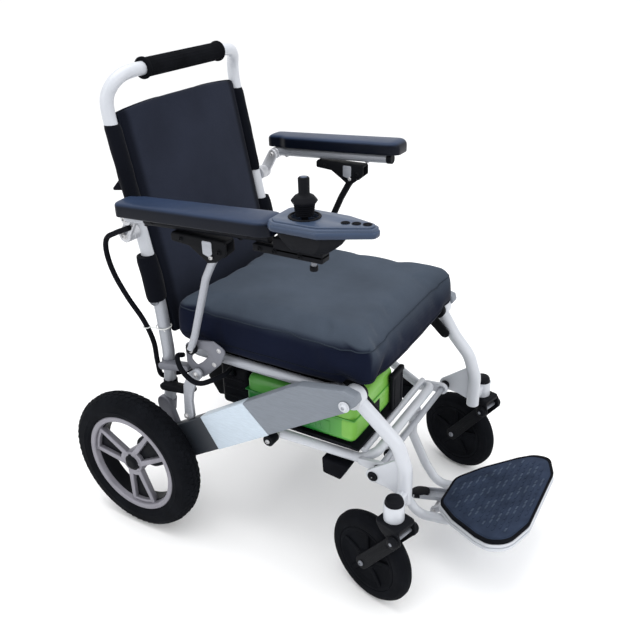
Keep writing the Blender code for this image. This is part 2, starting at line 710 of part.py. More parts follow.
def build_casters():
    legs = bpy.data.objects["front_leg_pivot"]
    for label, side in SIDES:
        swivel = pivot(f"{label}_caster_swivel", 0, 0, 0)
        bolt = pivot(f"{label}_caster_bolt", CASTER_BOLT[0], 0, CASTER_BOLT[1], swivel)
        spin = pivot(f"{label}_caster_axle", -CASTER_TRAIL, 0, CASTER_RADIUS, bolt)
        hang(swivel, place(caster_crown(), f"{label}_caster_crown", BLACK_PLASTIC))
        hang(bolt, place(caster_arm(), f"{label}_caster_arm", BLACK_STEEL))
        hang(spin, place(caster_wheel(), f"{label}_caster_wheel", RUBBER))
        # the whole caster is made at the origin, then turned and moved to its head tube
        for part in ("crown", "arm", "wheel"):
            for modifier in bpy.data.objects[f"{label}_caster_{part}"].modifiers:
                if modifier.type == "BOOLEAN":
                    hang(swivel, modifier.object)
        swivel.rotation_euler.z = CASTER_TURN
        swivel.location = (SWIVEL[0], side * SWIVEL[1], 0)
        hang(legs, swivel)


# ---------------------------------------------------------------- backrest
def lean_point(height, forward=0.0):
    """A point on the leaning back, by height above the hinge and distance forward."""
    x = BACK_HINGE[0] - height * sin(BACK_LEAN) + forward * cos(BACK_LEAN)
    z = BACK_HINGE[1] + height * cos(BACK_LEAN) + forward * sin(BACK_LEAN)
    return x, z


HANDLE = (-0.308, 0.936)


def back_frame(name):
    """Both upper posts and the push handle in one bent tube, with the hinge pins."""
    low = lean_point(-0.008)
    bend = lean_point(0.325)
    path = []
    for _, side in SIDES:
        half = [(low[0], side * POST_Y, low[1]), (bend[0], side * POST_Y, bend[1]),
                (HANDLE[0] - 0.022, side * POST_Y, HANDLE[1]), (HANDLE[0], side * 0.145, HANDLE[1])]
        path += half if side < 0 else half[::-1]
    frame = tube(rounded(path, 0.034, 4), POST_RADIUS)
    pins = []
    for _, side in SIDES:
        pins.append(rod((BACK_HINGE[0], side * POST_Y, BACK_HINGE[1]),
                        (BACK_HINGE[0], side * 0.2130, BACK_HINGE[1]), 0.0050, 12))
    return place(join(frame, *pins), name, WHITE_PAINT)


def push_grip(name):
    bore = POST_RADIUS + GAP
    half = [(bore, 0.116), (0.0200, 0.116), (0.0200, 0.110), (0.0170, 0.107)]
    profile = half + [(radius, -height) for radius, height in reversed(half)]
    grip = turned(profile, (HANDLE[0], 0, HANDLE[1]), (0, 1, 0), 20, closed=True)
    return place(grip, name, RUBBER)


def backrest_sling(name):
    """Padded panel between the posts."""
    half = POST_Y - POST_RADIUS - 0.001
    corners = [lean_point(-0.130, 0.004), lean_point(-0.130, -0.010),
               lean_point(0.316, -0.010), lean_point(0.316, 0.010)]
    panel = plate([corners], -half, half)
    return place(round_edges(panel, 0.006, 2), name, DARK_FABRIC)


def build_backrest():
    back = pivot("backrest_pivot", BACK_HINGE[0], 0.0, BACK_HINGE[1])
    hang(back, back_frame("back_frame"), push_grip("push_grip"), backrest_sling("backrest_sling"))


# ---------------------------------------------------------------- arms
PAD_SHIFT = {-1: 0.0, 1: -0.020}   # the left pad sits further back than the right one
ARM_PAD_Y = 0.2595


def rail_height(x):
    """Height of the arm rail's middle at x."""
    return 0.7005 + (x + 0.262) * tan(ARM_TILT)


def arm_clevis(name, side):
    """Casting that grips the post and carries the rail's hinge."""
    grip_end = POST_Y + POST_RADIUS + 0.0008
    boss = rod((POST_CLEVIS[0], side * grip_end, POST_CLEVIS[1]),
               (POST_CLEVIS[0], side * 0.2385, POST_CLEVIS[1]), 0.0145)
    link = plate([slab(POST_CLEVIS, ARM_HINGE, 0.0120, 0.0115, 7)], side * 0.2285, side * 0.2385)
    return place(join(boss, link), name, CAST_METAL)


def arm_rail(name, side):
    """Rail under the pad, with its eye beside the clevis."""
    start = (ARM_HINGE[0] + 0.002, side * ARM_Y, rail_height(ARM_HINGE[0]))
    tip = 0.050 + PAD_SHIFT[side]
    end = (tip, side * ARM_Y, rail_height(tip))
    rail = tube([start, end], 0.0105)
    eye = rod((ARM_HINGE[0], side * 0.2390, ARM_HINGE[1]), (ARM_HINGE[0], side * 0.2560, ARM_HINGE[1]), 0.0125)
    return place(join(rail, eye), name, CAST_METAL)


def arm_bracket(name, side):
    """Black channel under the rail that the strut's head sits in."""
    top = rail_height(-0.150) - 0.0112
    web = block((-0.1485, min(side * 0.2385, side * 0.2615), top - 0.0060),
                (-0.0355, max(side * 0.2385, side * 0.2615), top))
    cheeks = []
    for y_from in (0.2365, 0.2595):
        outline = [(-0.150, top - 0.001), (-0.150, top - 0.016), (-0.112, top - 0.019), (-0.088, 0.660),
                   (-0.074, 0.650), (-0.056, 0.654), (-0.034, 0.672), (-0.034, top - 0.001)]
        cheeks.append(plate([outline], side * y_from, side * (y_from + 0.0040)))
    return place(join(web, *cheeks), name, BLACK_STEEL)


def arm_pad(name, side):
    """Long pad, narrower at its back end, where its inner edge clears the clevis as it flips."""
    shift = PAD_SHIFT[side]
    outer = [(-0.262, 0.022), (-0.245, 0.029), (-0.090, 0.030), (0.055, 0.032), (0.069, 0.024)]
    inner = [(-0.262 + shift, 0.0205), (-0.248, 0.0205), (-0.222, 0.029)]
    inner += [(x + shift, width) for x, width in outer[2:]]
    loop = [(x + shift, side * (ARM_PAD_Y + width), 0) for x, width in outer]
    loop += [(x, side * (ARM_PAD_Y - width), 0) for x, width in reversed(inner)]
    outline = [tuple(p)[:2] for p in rounded(loop, 0.008, 3, closed=True)]
    pad = sheet([outline], 0.0, 0.0275)
    shear = Matrix.Identity(4)
    shear[2][0] = tan(ARM_TILT)
    shear[2][3] = rail_height(0.0) + 0.0108
    pad.data.transform(shear @ Matrix.Translation(pad.location))
    pad.location = (0, 0, 0)
    return place(round_edges(pad, 0.007, 2), name, NAVY_PLASTIC)


def arm_strut(name, side):
    """Bent brace from the seat's side plate up into the bracket."""
    path = [(STRUT_FOOT[0], side * 0.2270, STRUT_FOOT[1]), (-0.150, side * 0.2275, 0.475),
            (-0.094, side * 0.2480, 0.612), (-0.072, side * ARM_Y, 0.652),
            (STRUT_HEAD[0], side * ARM_Y, STRUT_HEAD[1])]
    brace = tube(rounded(path, 0.08, 2), 0.0072)
    eye = ring((STRUT_FOOT[0], side * 0.2190, STRUT_FOOT[1]),
               (STRUT_FOOT[0], side * 0.2295, STRUT_FOOT[1]), 0.0053, 0.0115)
    bore = rod((STRUT_FOOT[0], side * 0.2100, STRUT_FOOT[1]),
               (STRUT_FOOT[0], side * 0.2400, STRUT_FOOT[1]), 0.0053, 16)
    return place(cut(join(brace, eye), bore), name, WHITE_PAINT)


def build_arms():
    back = bpy.data.objects["backrest_pivot"]
    for label, side in SIDES:
        clevis = pivot(f"{label}_clevis_pivot", POST_CLEVIS[0], side * 0.22, POST_CLEVIS[1], back)
        hang(clevis, arm_clevis(f"{label}_arm_clevis", side))
        flip = pivot(f"{label}_arm_pivot", ARM_HINGE[0], side * ARM_Y, ARM_HINGE[1], clevis)
        hang(flip, arm_rail(f"{label}_arm_rail", side), arm_bracket(f"{label}_arm_bracket", side))
        hang(flip, arm_pad(f"{label}_arm_pad", side))
        brace = pivot(f"{label}_strut_pivot", STRUT_FOOT[0], side * 0.2245, STRUT_FOOT[1])
        hang(brace, arm_strut(f"{label}_arm_strut", side))


# ---------------------------------------------------------------- joystick controller
BUTTONS = ((0.194, -0.268), (0.210, -0.264), (0.226, -0.260))


def pod_outline():
    """Controller in plan: round at the back, drawn to a blunt point at the front."""
    loop = [(0.077, -0.300, 0), (0.088, -0.310, 0), (0.168, -0.310, 0), (0.243, -0.270, 0),
            (0.246, -0.252, 0), (0.190, -0.232, 0), (0.095, -0.230, 0), (0.077, -0.240, 0)]
    return [tuple(p)[:2] for p in rounded(loop, 0.009, 3, closed=True)]


def build_controller():
    arm = bpy.data.objects["right_arm_pivot"]
    holes = [circle(STICK[:2], 0.0212, 20)] + [circle(spot, 0.0056, 12) for spot in BUTTONS]
    housing = sheet([pod_outline()] + holes, POD_JOINT, POD_TOP)
    base_loop = [(0.0710, -0.276, 0), (0.085, -0.288, 0), (0.165, -0.288, 0), (0.200, -0.262, 0),
                 (0.165, -0.238, 0), (0.0710, -0.238, 0)]
    base_outline = [tuple(p)[:2] for p in rounded(base_loop, 0.007, 3, closed=True)]
    base = sheet([base_outline], 0.7090, POD_JOINT - GAP)
    clamp = block((0.020, -0.2620, 0.6900), (0.150, -0.2380, rail_height(0.02) - 0.0112), 0.002, 1)
    stem = block((0.060, -0.2620, 0.6960), (0.150, -0.2380, 0.7200))
    hang(arm, place(housing, "controller_housing", NAVY_PLASTIC))
    hang(arm, place(join(base, clamp, stem), "controller_base", BLACK_PLASTIC))

    pitch = pivot("joystick_pitch", *STICK, arm)
    ball = turned([(0.006 * sin(radians(a)), 0.006 * cos(radians(a))) for a in range(0, 181, 30)],
                  STICK, (0, 0, 1), 10)
    hang(pitch, place(ball, "joystick_gimbal", CAST_METAL))
    roll = pivot("joystick_roll", *STICK, pitch)
    profile = [(0.0, 0.073), (0.0080, 0.073), (0.0088, 0.071), (0.0085, 0.0470), (0.0150, 0.0440),
               (0.0200, 0.0380), (0.0195, 0.0340), (0.0160, 0.0310), (0.0135, 0.0140), (0.0050, 0.0130),
               (0.0050, 0.0070), (0.0, 0.0070)]
    hang(roll, place(turned(profile, STICK, (0, 0, 1), 20), "joystick", BLACK_PLASTIC))
    for index, (x, y) in enumerate(BUTTONS, 1):
        button = turned([(0.0, 0.0105), (0.0046, 0.0105), (0.0053, 0.0098), (0.0053, 0.0), (0.0, 0.0)],
                        (x, y, POD_TOP - 0.0092), (0, 0, 1), 12)
        hang(arm, place(button, f"controller_button_{index}", BLACK_PLASTIC))


# ---------------------------------------------------------------- cable
CONTROL_ROUTE = (
    (-0.262, -0.2460, 0.6775),
    (-0.300, -0.2460, 0.6610),
    (-0.328, -0.2440, 0.6440),
    (-0.341, -0.2370, 0.6100),
    (-0.338, -0.2290, 0.5640),
    (-0.318, -0.2220, 0.5150),
    (-0.288, -0.2170, 0.4680),
    (-0.2745, -0.2110, 0.4200),
    (-0.2750, -0.2070, 0.3700),
    (-0.2800, -0.1920, 0.3300),
    (-0.2700, -0.1500, 0.3180),
    (-0.2300, -0.1050, 0.3220),
)
DOCK_ROUTE = (
    (-0.2100, -0.2000, 0.4020),
    (-0.2020, -0.2260, 0.4140),
    (-0.1860, -0.2385, 0.3980),
    (-0.1640, -0.2395, 0.3800),
    (-0.1400, -0.2385, 0.3770),
    (-0.1180, -0.2270, 0.3850),
    (-0.1080, -0.1980, 0.3860),
    (-0.1180, -0.1690, 0.3790),
    (-0.1260, -0.1560, 0.3590),
)
CABLE_RADIUS = 0.0052


def spline_points(route, spacing):
    """Evenly spread points on a smooth curve through the route's own points."""
    points = [Vector(p) for p in route]
    points = [2 * points[0] - points[1]] + points + [2 * points[-1] - points[-2]]
    dense = []
    for index in range(1, len(points) - 2):
        before, start, end, after = points[index - 1:index + 3]
        for step in range(20):
            t = step / 20
            dense.append(0.5 * ((2 * start) + (end - before) * t
                                + (2 * before - 5 * start + 4 * end - after) * t ** 2
                                + (3 * start - before - 3 * end + after) * t ** 3))
    dense.append(points[-2])
    chosen = [dense[0]]
    travelled = 0.0
    for first, second in zip(dense, dense[1:]):
        travelled += (second - first).length
        if travelled >= spacing:
            chosen.append(second)
            travelled = 0.0
    chosen[-1] = dense[-1]
    return chosen


def build_cables():
    for name, route in (("control_cable", CONTROL_ROUTE), ("dock_cable", DOCK_ROUTE)):
        place(tube(spline_points(route, 0.020), CABLE_RADIUS, 2), name, RUBBER)


build_rear_frame()
build_rear_wheels()
build_front_frame()
build_footplate()
build_casters()
build_backrest()
build_arms()
build_controller()
build_cables()
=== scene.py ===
"""The looks of the folding power wheelchair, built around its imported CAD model.

Metres throughout, in the CAD's frame: +X the way the rider faces, +Y the rider's left,
+Z up, the floor at z = 0.  Every visible piece is a mesh made here from the same driving
dimensions as the CAD, with finer edges, bends, fasteners and procedural materials.
"""

from math import atan2, ceil, cos, hypot, pi, radians, sin, sqrt, tan

import bmesh
import bpy
from mathutils import Matrix, Vector, noise
from mathutils.bvhtree import BVHTree


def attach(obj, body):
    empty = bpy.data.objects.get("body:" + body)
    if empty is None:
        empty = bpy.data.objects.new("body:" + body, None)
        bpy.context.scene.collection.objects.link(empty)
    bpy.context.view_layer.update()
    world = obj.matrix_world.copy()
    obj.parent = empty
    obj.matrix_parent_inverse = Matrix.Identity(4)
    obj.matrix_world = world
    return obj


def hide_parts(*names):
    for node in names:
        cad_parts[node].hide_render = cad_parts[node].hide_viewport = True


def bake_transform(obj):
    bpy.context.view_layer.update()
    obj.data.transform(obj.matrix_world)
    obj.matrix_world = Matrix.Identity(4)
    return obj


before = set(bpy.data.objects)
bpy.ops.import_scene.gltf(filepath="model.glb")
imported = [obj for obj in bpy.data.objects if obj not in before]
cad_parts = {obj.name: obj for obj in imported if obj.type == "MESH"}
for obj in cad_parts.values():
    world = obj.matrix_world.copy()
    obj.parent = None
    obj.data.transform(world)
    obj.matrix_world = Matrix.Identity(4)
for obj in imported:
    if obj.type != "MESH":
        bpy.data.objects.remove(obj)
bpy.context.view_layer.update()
scene = bpy.context.scene
scene.view_settings.view_transform = "Standard"

# ---------------------------------------------------------------- driving dimensions
GAP = 0.0003                      # between parts that touch

WHEEL_WIDTH = 0.056
WHEEL_Y = 0.2688                  # middle of the tyre
AXLE = (-0.309, 0.157)            # rear axle, x and z
RIM_RADIUS = 0.1125
SPOKE_START = 41.0                # where the first pair of spokes points, degrees
CASTER_RADIUS = 0.0924
CASTER_WIDTH = 0.035
CASTER_TRAIL = 0.051
CASTER_TURN = -0.272              # how far both casters are swivelled
SWIVEL = (0.2676, 0.2298)         # swivel axis, x and y
HEAD_BOTTOM = 0.2142              # underside of the head tube
CASTER_BOLT = (0.0215, 0.188)     # the arm's pivot, in the caster's own x and z
BEAM_IN = 0.213                   # faces of the side beam, in y
BEAM_OUT = 0.235
BEAM_ANGLE = radians(32.0)
BEAM_TOP = 0.032                  # beam edges, across the beam, from the axle line
BEAM_BOTTOM = -0.043
LEG_PIVOT = (0.172, 0.421)        # front leg on the beam, x and z
FRAME_PIVOT = (0.203, 0.249)      # lower frame on the front legs
TRACK_ROLLER = (0.005, 0.287)     # rear end of the lower frame under the beam
FRAME_BEND = (0.158, 0.145, 0.247)   # where the lower frame's U tube turns in
FRAME_END_Y = 0.196
CROSS = (0.186, 0.262)            # front bar of the U tube
AXLE_BORE = 0.0108
SHAFT_BORE = 0.0063
FRAME_TUBE = 0.0095
RAIL_TUBE = 0.0105
LEG_Y = 0.18
POST_Y = 0.194
POST_RADIUS = 0.0125
BACK_HINGE = (-0.268, 0.56)
BACK_LEAN = radians(11.3)
HANDLE = (-0.308, 0.936)          # middle of the push grip
SEAT_FRAME_Z = 0.412
ARM_Y = 0.25
ARM_TILT = radians(2.8)
PAD_SHIFT = {-1: 0.0, 1: -0.02}   # the left pad sits further back
PAD_FLOOR = 0.0108                # pad's base and bracket's top, from the rail's middle
BRACKET_TOP = -0.0112
POST_CLEVIS = (-0.287, 0.655)     # clevis on the back post
ARM_HINGE = (-0.262, 0.697)       # rail on the clevis
STRUT_FOOT = (-0.165, 0.44)
STRUT_HEAD = (-0.048, 0.674)
FOOT_SLOPE = 0.295                # the footplate's rise along x, and its height at x = 0
FOOT_ZERO = 0.029
TRAY_DEPTH = 0.017
FOOT_HINGE = (0.27, 0.083)
HANGER_Y = 0.055
STICK = (0.126, -0.27, 0.756)     # where the joystick tilts
POD_TOP = 0.768
POD_JOINT = 0.75                  # between the controller's deck and its chin
BUTTONS = ((0.194, -0.268), (0.21, -0.264), (0.226, -0.26))
SIDES = (("right", -1), ("left", 1))
OUT, IN, UP, DOWN = (0, 1, 0), (0, -1, 0), (0, 0, 1), (0, 0, -1)
PATH_STEP = 0.006                 # between the points of a smooth path or a seam
CLOTH_THREADS = 2400.0            # in a metre
CLOTH_FRAMES = 20                 # of simulation


# ---------------------------------------------------------------- camera
def build_camera():
    data = bpy.data.cameras.new("camera")
    data.lens = 42.75
    data.sensor_width = 36.0
    data.shift_x = 0.02745
    data.shift_y = -0.02473
    data.clip_start = 0.01
    camera = bpy.data.objects.new("camera", data)
    right = (0.856418, 0.515421, -0.029809)
    up = (-0.204216, 0.391221, 0.897353)
    back = (0.474177, -0.762422, 0.440306)
    turn = Matrix((right, up, back)).transposed().to_4x4()
    camera.matrix_world = Matrix.Translation((0.69023, -1.19211, 1.15162)) @ turn
    scene.collection.objects.link(camera)
    scene.camera = camera


build_camera()


# ---------------------------------------------------------------- points and outlines
def rounded(points, radius, steps=6, closed=False):
    """The points of a polyline whose corners are turned into arcs of one radius."""
    corners = [Vector(point) for point in points]
    count = len(corners)
    result = []
    for index, corner in enumerate(corners):
        if not closed and index in (0, count - 1):
            result.append(corner)
            continue
        before = corners[index - 1] - corner
        after = corners[(index + 1) % count] - corner
        angle = before.angle(after)
        if angle > radians(177):
            result.append(corner)
            continue
        reach = min(radius / tan(angle / 2), 0.49 * min(before.length, after.length))
        size = reach * tan(angle / 2)
        before.normalize()
        after.normalize()
        centre = corner + (before + after).normalized() * (size / sin(angle / 2))
        first = corner + before * reach - centre
        last = corner + after * reach - centre
        sweep = first.angle(last)
        for step in range(steps + 1):
            part = step / steps
            turned = first * sin((1 - part) * sweep) + last * sin(part * sweep)
            result.append(centre + turned / sin(sweep))
    return result


def flat(points, radius, steps=6):
    """A closed outline of (a, b) pairs with rounded corners."""
    return [tuple(p)[:2] for p in rounded([(*p, 0) for p in points], radius, steps, closed=True)]


def at(spot, y):
    """The point of an (x, z) spot at one y."""
    return spot[0], y, spot[1]


def around(centre, radius, angle):
    return centre[0] + radius * cos(angle), centre[1] + radius * sin(angle)


def arc(centre, radius, start, end, steps):
    angles = [radians(start + (end - start) * step / steps) for step in range(steps + 1)]
    return [around(centre, radius, angle) for angle in angles]


def circle(centre, radius, steps=32):
    return arc(centre, radius, 0, 360 * (steps - 1) / steps, steps - 1)


def disc(radius, top, bottom=0.0):
    """Section of a plain round plate, for Piece.turned."""
    return [(radius, top), (radius, bottom)]


def mirrored(half):
    """Half a section and its mirror image, which share the last point."""
    return half + [(radius, -height) for radius, height in reversed(half[:-1])]


def slab(a, b, radius_a, radius_b, steps=14):
    """Outline of a link: two round ends and the straight sides between them."""
    direction = atan2(b[1] - a[1], b[0] - a[0]) * 180 / pi
    lean = 90 + atan2(radius_b - radius_a, hypot(b[0] - a[0], b[1] - a[1])) * 180 / pi
    head = arc(b, radius_b, direction - lean, direction + lean, steps)
    tail = arc(a, radius_a, direction + lean, direction + 360 - lean, steps)
    return head + tail


def smooth_path(route, spacing):
    """Evenly spread points on a smooth curve through the route's own points."""
    points = [Vector(p) for p in route]
    points = [2 * points[0] - points[1]] + points + [2 * points[-1] - points[-2]]
    dense = []
    for index in range(1, len(points) - 2):
        before, start, end, after = points[index - 1:index + 3]
        for step in range(20):
            t = step / 20                      # Catmull-Rom between start and end
            dense.append(0.5 * ((2 * start) + (end - before) * t
                                + (2 * before - 5 * start + 4 * end - after) * t ** 2
                                + (3 * start - before - 3 * end + after) * t ** 3))
    dense.append(points[-2])
    chosen = [dense[0]]
    travelled = 0.0
    for first, second in zip(dense, dense[1:]):
        travelled += (second - first).length
        if travelled >= spacing:
            chosen.append(second)
            travelled = 0.0
    chosen[-1] = dense[-1]
    return chosen


def divided(corners):
    """The points of a closed loop, with more between them where they lie far apart."""
    points = []
    for start, end in zip(corners, corners[1:] + corners[:1]):
        steps = max(1, ceil((end - start).length / PATH_STEP))
        points += [start.lerp(end, step / steps) for step in range(steps)]
    return points


def beam_point(along, across):
    """x and z of a point given along and across the side beam, from the rear axle."""
    x = AXLE[0] + along * cos(BEAM_ANGLE) - across * sin(BEAM_ANGLE)
    z = AXLE[1] + along * sin(BEAM_ANGLE) + across * cos(BEAM_ANGLE)
    return x, z


def lean_point(height, forward=0.0):
    """x and z of a point given up and across the leaning back post, from its hinge."""
    x = BACK_HINGE[0] - height * sin(BACK_LEAN) + forward * cos(BACK_LEAN)
    z = BACK_HINGE[1] + height * cos(BACK_LEAN) + forward * sin(BACK_LEAN)
    return x, z


def rail_height(x):
    return 0.7005 + (x + 0.262) * tan(ARM_TILT)


def foot_height(x):
    return FOOT_ZERO + FOOT_SLOPE * x


# ---------------------------------------------------------------- materials
class Surface:
    """A Principled material with procedural colour, roughness and bump."""

    def __init__(self, name, colour, roughness, metallic=0.0, coat=0.0, sheen=0.0, specular=0.5):
        self.material = bpy.data.materials.new(name)
        self.material.use_nodes = True
        self.nodes = self.material.node_tree.nodes
        self.links = self.material.node_tree.links
        self.shader = self.nodes["Principled BSDF"]
        self.colour = colour
        self.shader.inputs["Base Color"].default_value = (*colour, 1.0)
        self.shader.inputs["Roughness"].default_value = roughness
        self.shader.inputs["Metallic"].default_value = metallic
        self.shader.inputs["Specular IOR Level"].default_value = specular
        self.shader.inputs["Coat Weight"].default_value = coat
        self.shader.inputs["Coat Roughness"].default_value = 0.15
        self.shader.inputs["Sheen Weight"].default_value = sheen
        self.shader.inputs["Sheen Roughness"].default_value = 0.4
        self.roughness = roughness
        self.coord = self.nodes.new("ShaderNodeTexCoord").outputs["Object"]
        self.height = None

    def mapped(self, scale, turn=(0, 0, 0)):
        node = self.nodes.new("ShaderNodeMapping")
        node.inputs["Scale"].default_value = scale
        node.inputs["Rotation"].default_value = turn
        self.links.new(self.coord, node.inputs["Vector"])
        return node.outputs["Vector"]

    def noise(self, scale, detail=3.0, vector=None):
        node = self.nodes.new("ShaderNodeTexNoise")
        node.inputs["Scale"].default_value = scale
        node.inputs["Detail"].default_value = detail
        self.links.new(vector or self.coord, node.inputs["Vector"])
        return node.outputs["Fac"]

    def math(self, kind, a, b):
        node = self.nodes.new("ShaderNodeMath")
        node.operation = kind
        for socket, value in zip(node.inputs, (a, b)):
            if isinstance(value, (int, float)):
                socket.default_value = value
            else:
                self.links.new(value, socket)
        return node.outputs[0]

    def ramp(self, factor, stops):
        node = self.nodes.new("ShaderNodeValToRGB")
        ramp = node.color_ramp
        while len(ramp.elements) < len(stops):
            ramp.elements.new(0.5)
        for element, (place, colour) in zip(ramp.elements, stops):
            element.position = place
            element.color = (*colour, 1.0)
        self.links.new(factor, node.inputs["Fac"])
        return node.outputs["Color"]

    def tint(self, factor, spread, low=0.3, high=0.7):
        """Colour that runs from darker to lighter with the factor."""
        dark = [c * (1 - spread) for c in self.colour]
        light = [min(c * (1 + spread), 1.0) for c in self.colour]
        self.links.new(self.ramp(factor, ((low, dark), (high, light))), self.shader.inputs["Base Color"])
        return self

    def rough(self, factor, spread):
        low = max(self.roughness - spread, 0.05)
        high = min(self.roughness + spread, 1.0)
        node = self.nodes.new("ShaderNodeMapRange")
        node.inputs["To Min"].default_value = low
        node.inputs["To Max"].default_value = high
        self.links.new(factor, node.inputs["Value"])
        self.links.new(node.outputs["Result"], self.shader.inputs["Roughness"])
        return self

    def bump(self, height, strength, distance):
        node = self.nodes.new("ShaderNodeBump")
        node.inputs["Strength"].default_value = strength
        node.inputs["Distance"].default_value = distance
        self.links.new(height, node.inputs["Height"])
        if self.height:
            self.links.new(self.height, node.inputs["Normal"])
        self.height = node.outputs["Normal"]
        self.links.new(self.height, self.shader.inputs["Normal"])
        return self

    def finish(self, tint, rough, bump):
        """Mottled colour, mottled gloss and a fine grain, each (scale, detail, amounts)."""
        self.tint(self.noise(*tint[:2]), tint[2]).rough(self.noise(*rough[:2]), rough[2])
        return self.bump(self.noise(*bump[:2]), *bump[2:]).material

    def weave(self, threads, strength, turn=(0, 0, 0)):
        """Two crossed thread directions; threads is how many go in a metre."""
        waves = []
        for direction in ("X", "Y"):
            node = self.nodes.new("ShaderNodeTexWave")
            node.bands_direction = direction
            node.inputs["Scale"].default_value = threads / 20
            node.inputs["Distortion"].default_value = 0.6
            node.inputs["Detail"].default_value = 1.0
            self.links.new(self.mapped((1, 1, 1), turn), node.inputs["Vector"])
            waves.append(node.outputs["Fac"])
        return self.bump(self.math("MULTIPLY", *waves), strength, 0.0006)


def painted(name, colour, roughness=0.36):
    made = Surface(name, colour, roughness, coat=0.25)
    return made.finish((7.0, 4.0, 0.05), (35.0, 5.0, 0.07), (420.0, 2.0, 0.05, 0.0004))


def cast(name, colour, roughness=0.42, metallic=0.75):
    made = Surface(name, colour, roughness, metallic=metallic)
    return made.finish((30.0, 6.0, 0.1), (90.0, 5.0, 0.1), (700.0, 3.0, 0.12, 0.0005))


def brushed(name, colour, roughness=0.34, metallic=0.8, turn=(0, 0, 0)):
    """Metal with fine lines along its own length."""
    made = Surface(name, colour, roughness, metallic=metallic)
    lines = made.noise(60.0, 6.0, made.mapped((1.0, 14.0, 14.0), turn))
    made.tint(lines, 0.1).rough(lines, 0.1)
    return made.bump(lines, 0.08, 0.0003).material


def plastic(name, colour, roughness=0.5, grain=1300.0, depth=0.18, coat=0.0, specular=0.06):
    made = Surface(name, colour, roughness, coat=coat, specular=specular)
    return made.finish((16.0, 4.0, 0.1), (55.0, 4.0, 0.08), (grain, 2.0, depth, 0.0004))


def rubber(name, colour, roughness=0.7):
    made = Surface(name, colour, roughness, specular=0.02)
    return made.finish((24.0, 6.0, 0.25), (120.0, 5.0, 0.12), (900.0, 4.0, 0.22, 0.0005))


def fabric(name, colour):
    made = Surface(name, colour, 0.9, sheen=0.06, specular=0.02)
    made.tint(made.noise(9.0, 6.0), 0.16).rough(made.noise(300.0, 3.0), 0.08)
    made.bump(made.noise(26.0, 4.0), 0.25, 0.004)
    return made.weave(CLOTH_THREADS, 0.3).material


def graded(made, low_colour, high_colour, weights, low, high, folded=False, over=None):
    """Runs from one colour to another along a direction; over gives a second run for the flanks."""
    def run(direction, start, end, absolute):
        node = made.nodes.new("ShaderNodeVectorMath")
        node.operation = "DOT_PRODUCT"
        made.links.new(made.coord, node.inputs[0])
        node.inputs[1].default_value = direction
        place = node.outputs["Value"]
        if absolute:
            place = made.math("ABSOLUTE", place, 0.0)
        share = made.nodes.new("ShaderNodeMapRange")
        share.interpolation_type = "SMOOTHSTEP"
        share.inputs["From Min"].default_value = start
        share.inputs["From Max"].default_value = end
        made.links.new(place, share.inputs["Value"])
        return share.outputs["Result"]

    share = run(weights, low, high, folded)
    if over:
        flank = run((0, 1, 0), *over[:2], True)
        share = made.math("MINIMUM", share, made.math("MAXIMUM", made.math("SUBTRACT", 1.0, flank),
                                                      run(weights, *over[2:], folded)))
    mottled = made.noise(9.0, 6.0)
    tones = [made.ramp(mottled, ((0.3, [c * 0.86 for c in colour]), (0.7, [c * 1.14 for c in colour])))
             for colour in (low_colour, high_colour)]
    mix = made.nodes.new("ShaderNodeMix")
    mix.data_type = "RGBA"
    made.links.new(share, mix.inputs["Factor"])
    made.links.new(tones[0], mix.inputs[6])
    made.links.new(tones[1], mix.inputs[7])
    made.links.new(mix.outputs[2], made.shader.inputs["Base Color"])
    return made


def cloth(name, *grading, turn=(0, 0, 0), **options):
    made = graded(Surface(name, grading[0], 0.9, sheen=0.05, specular=0.05), *grading, **options)
    made.rough(made.noise(300.0, 3.0), 0.08).bump(made.noise(26.0, 4.0), 0.25, 0.004)
    return made.weave(CLOTH_THREADS, 0.3, turn).material


def moulded(name, *grading, roughness=0.36, coat=0.15, specular=0.2, **options):
    made = graded(Surface(name, grading[0], roughness, coat=coat, specular=specular), *grading, **options)
    made.rough(made.noise(55.0, 4.0), 0.07)
    return made.bump(made.noise(1100.0, 2.0), 0.14, 0.0004).material


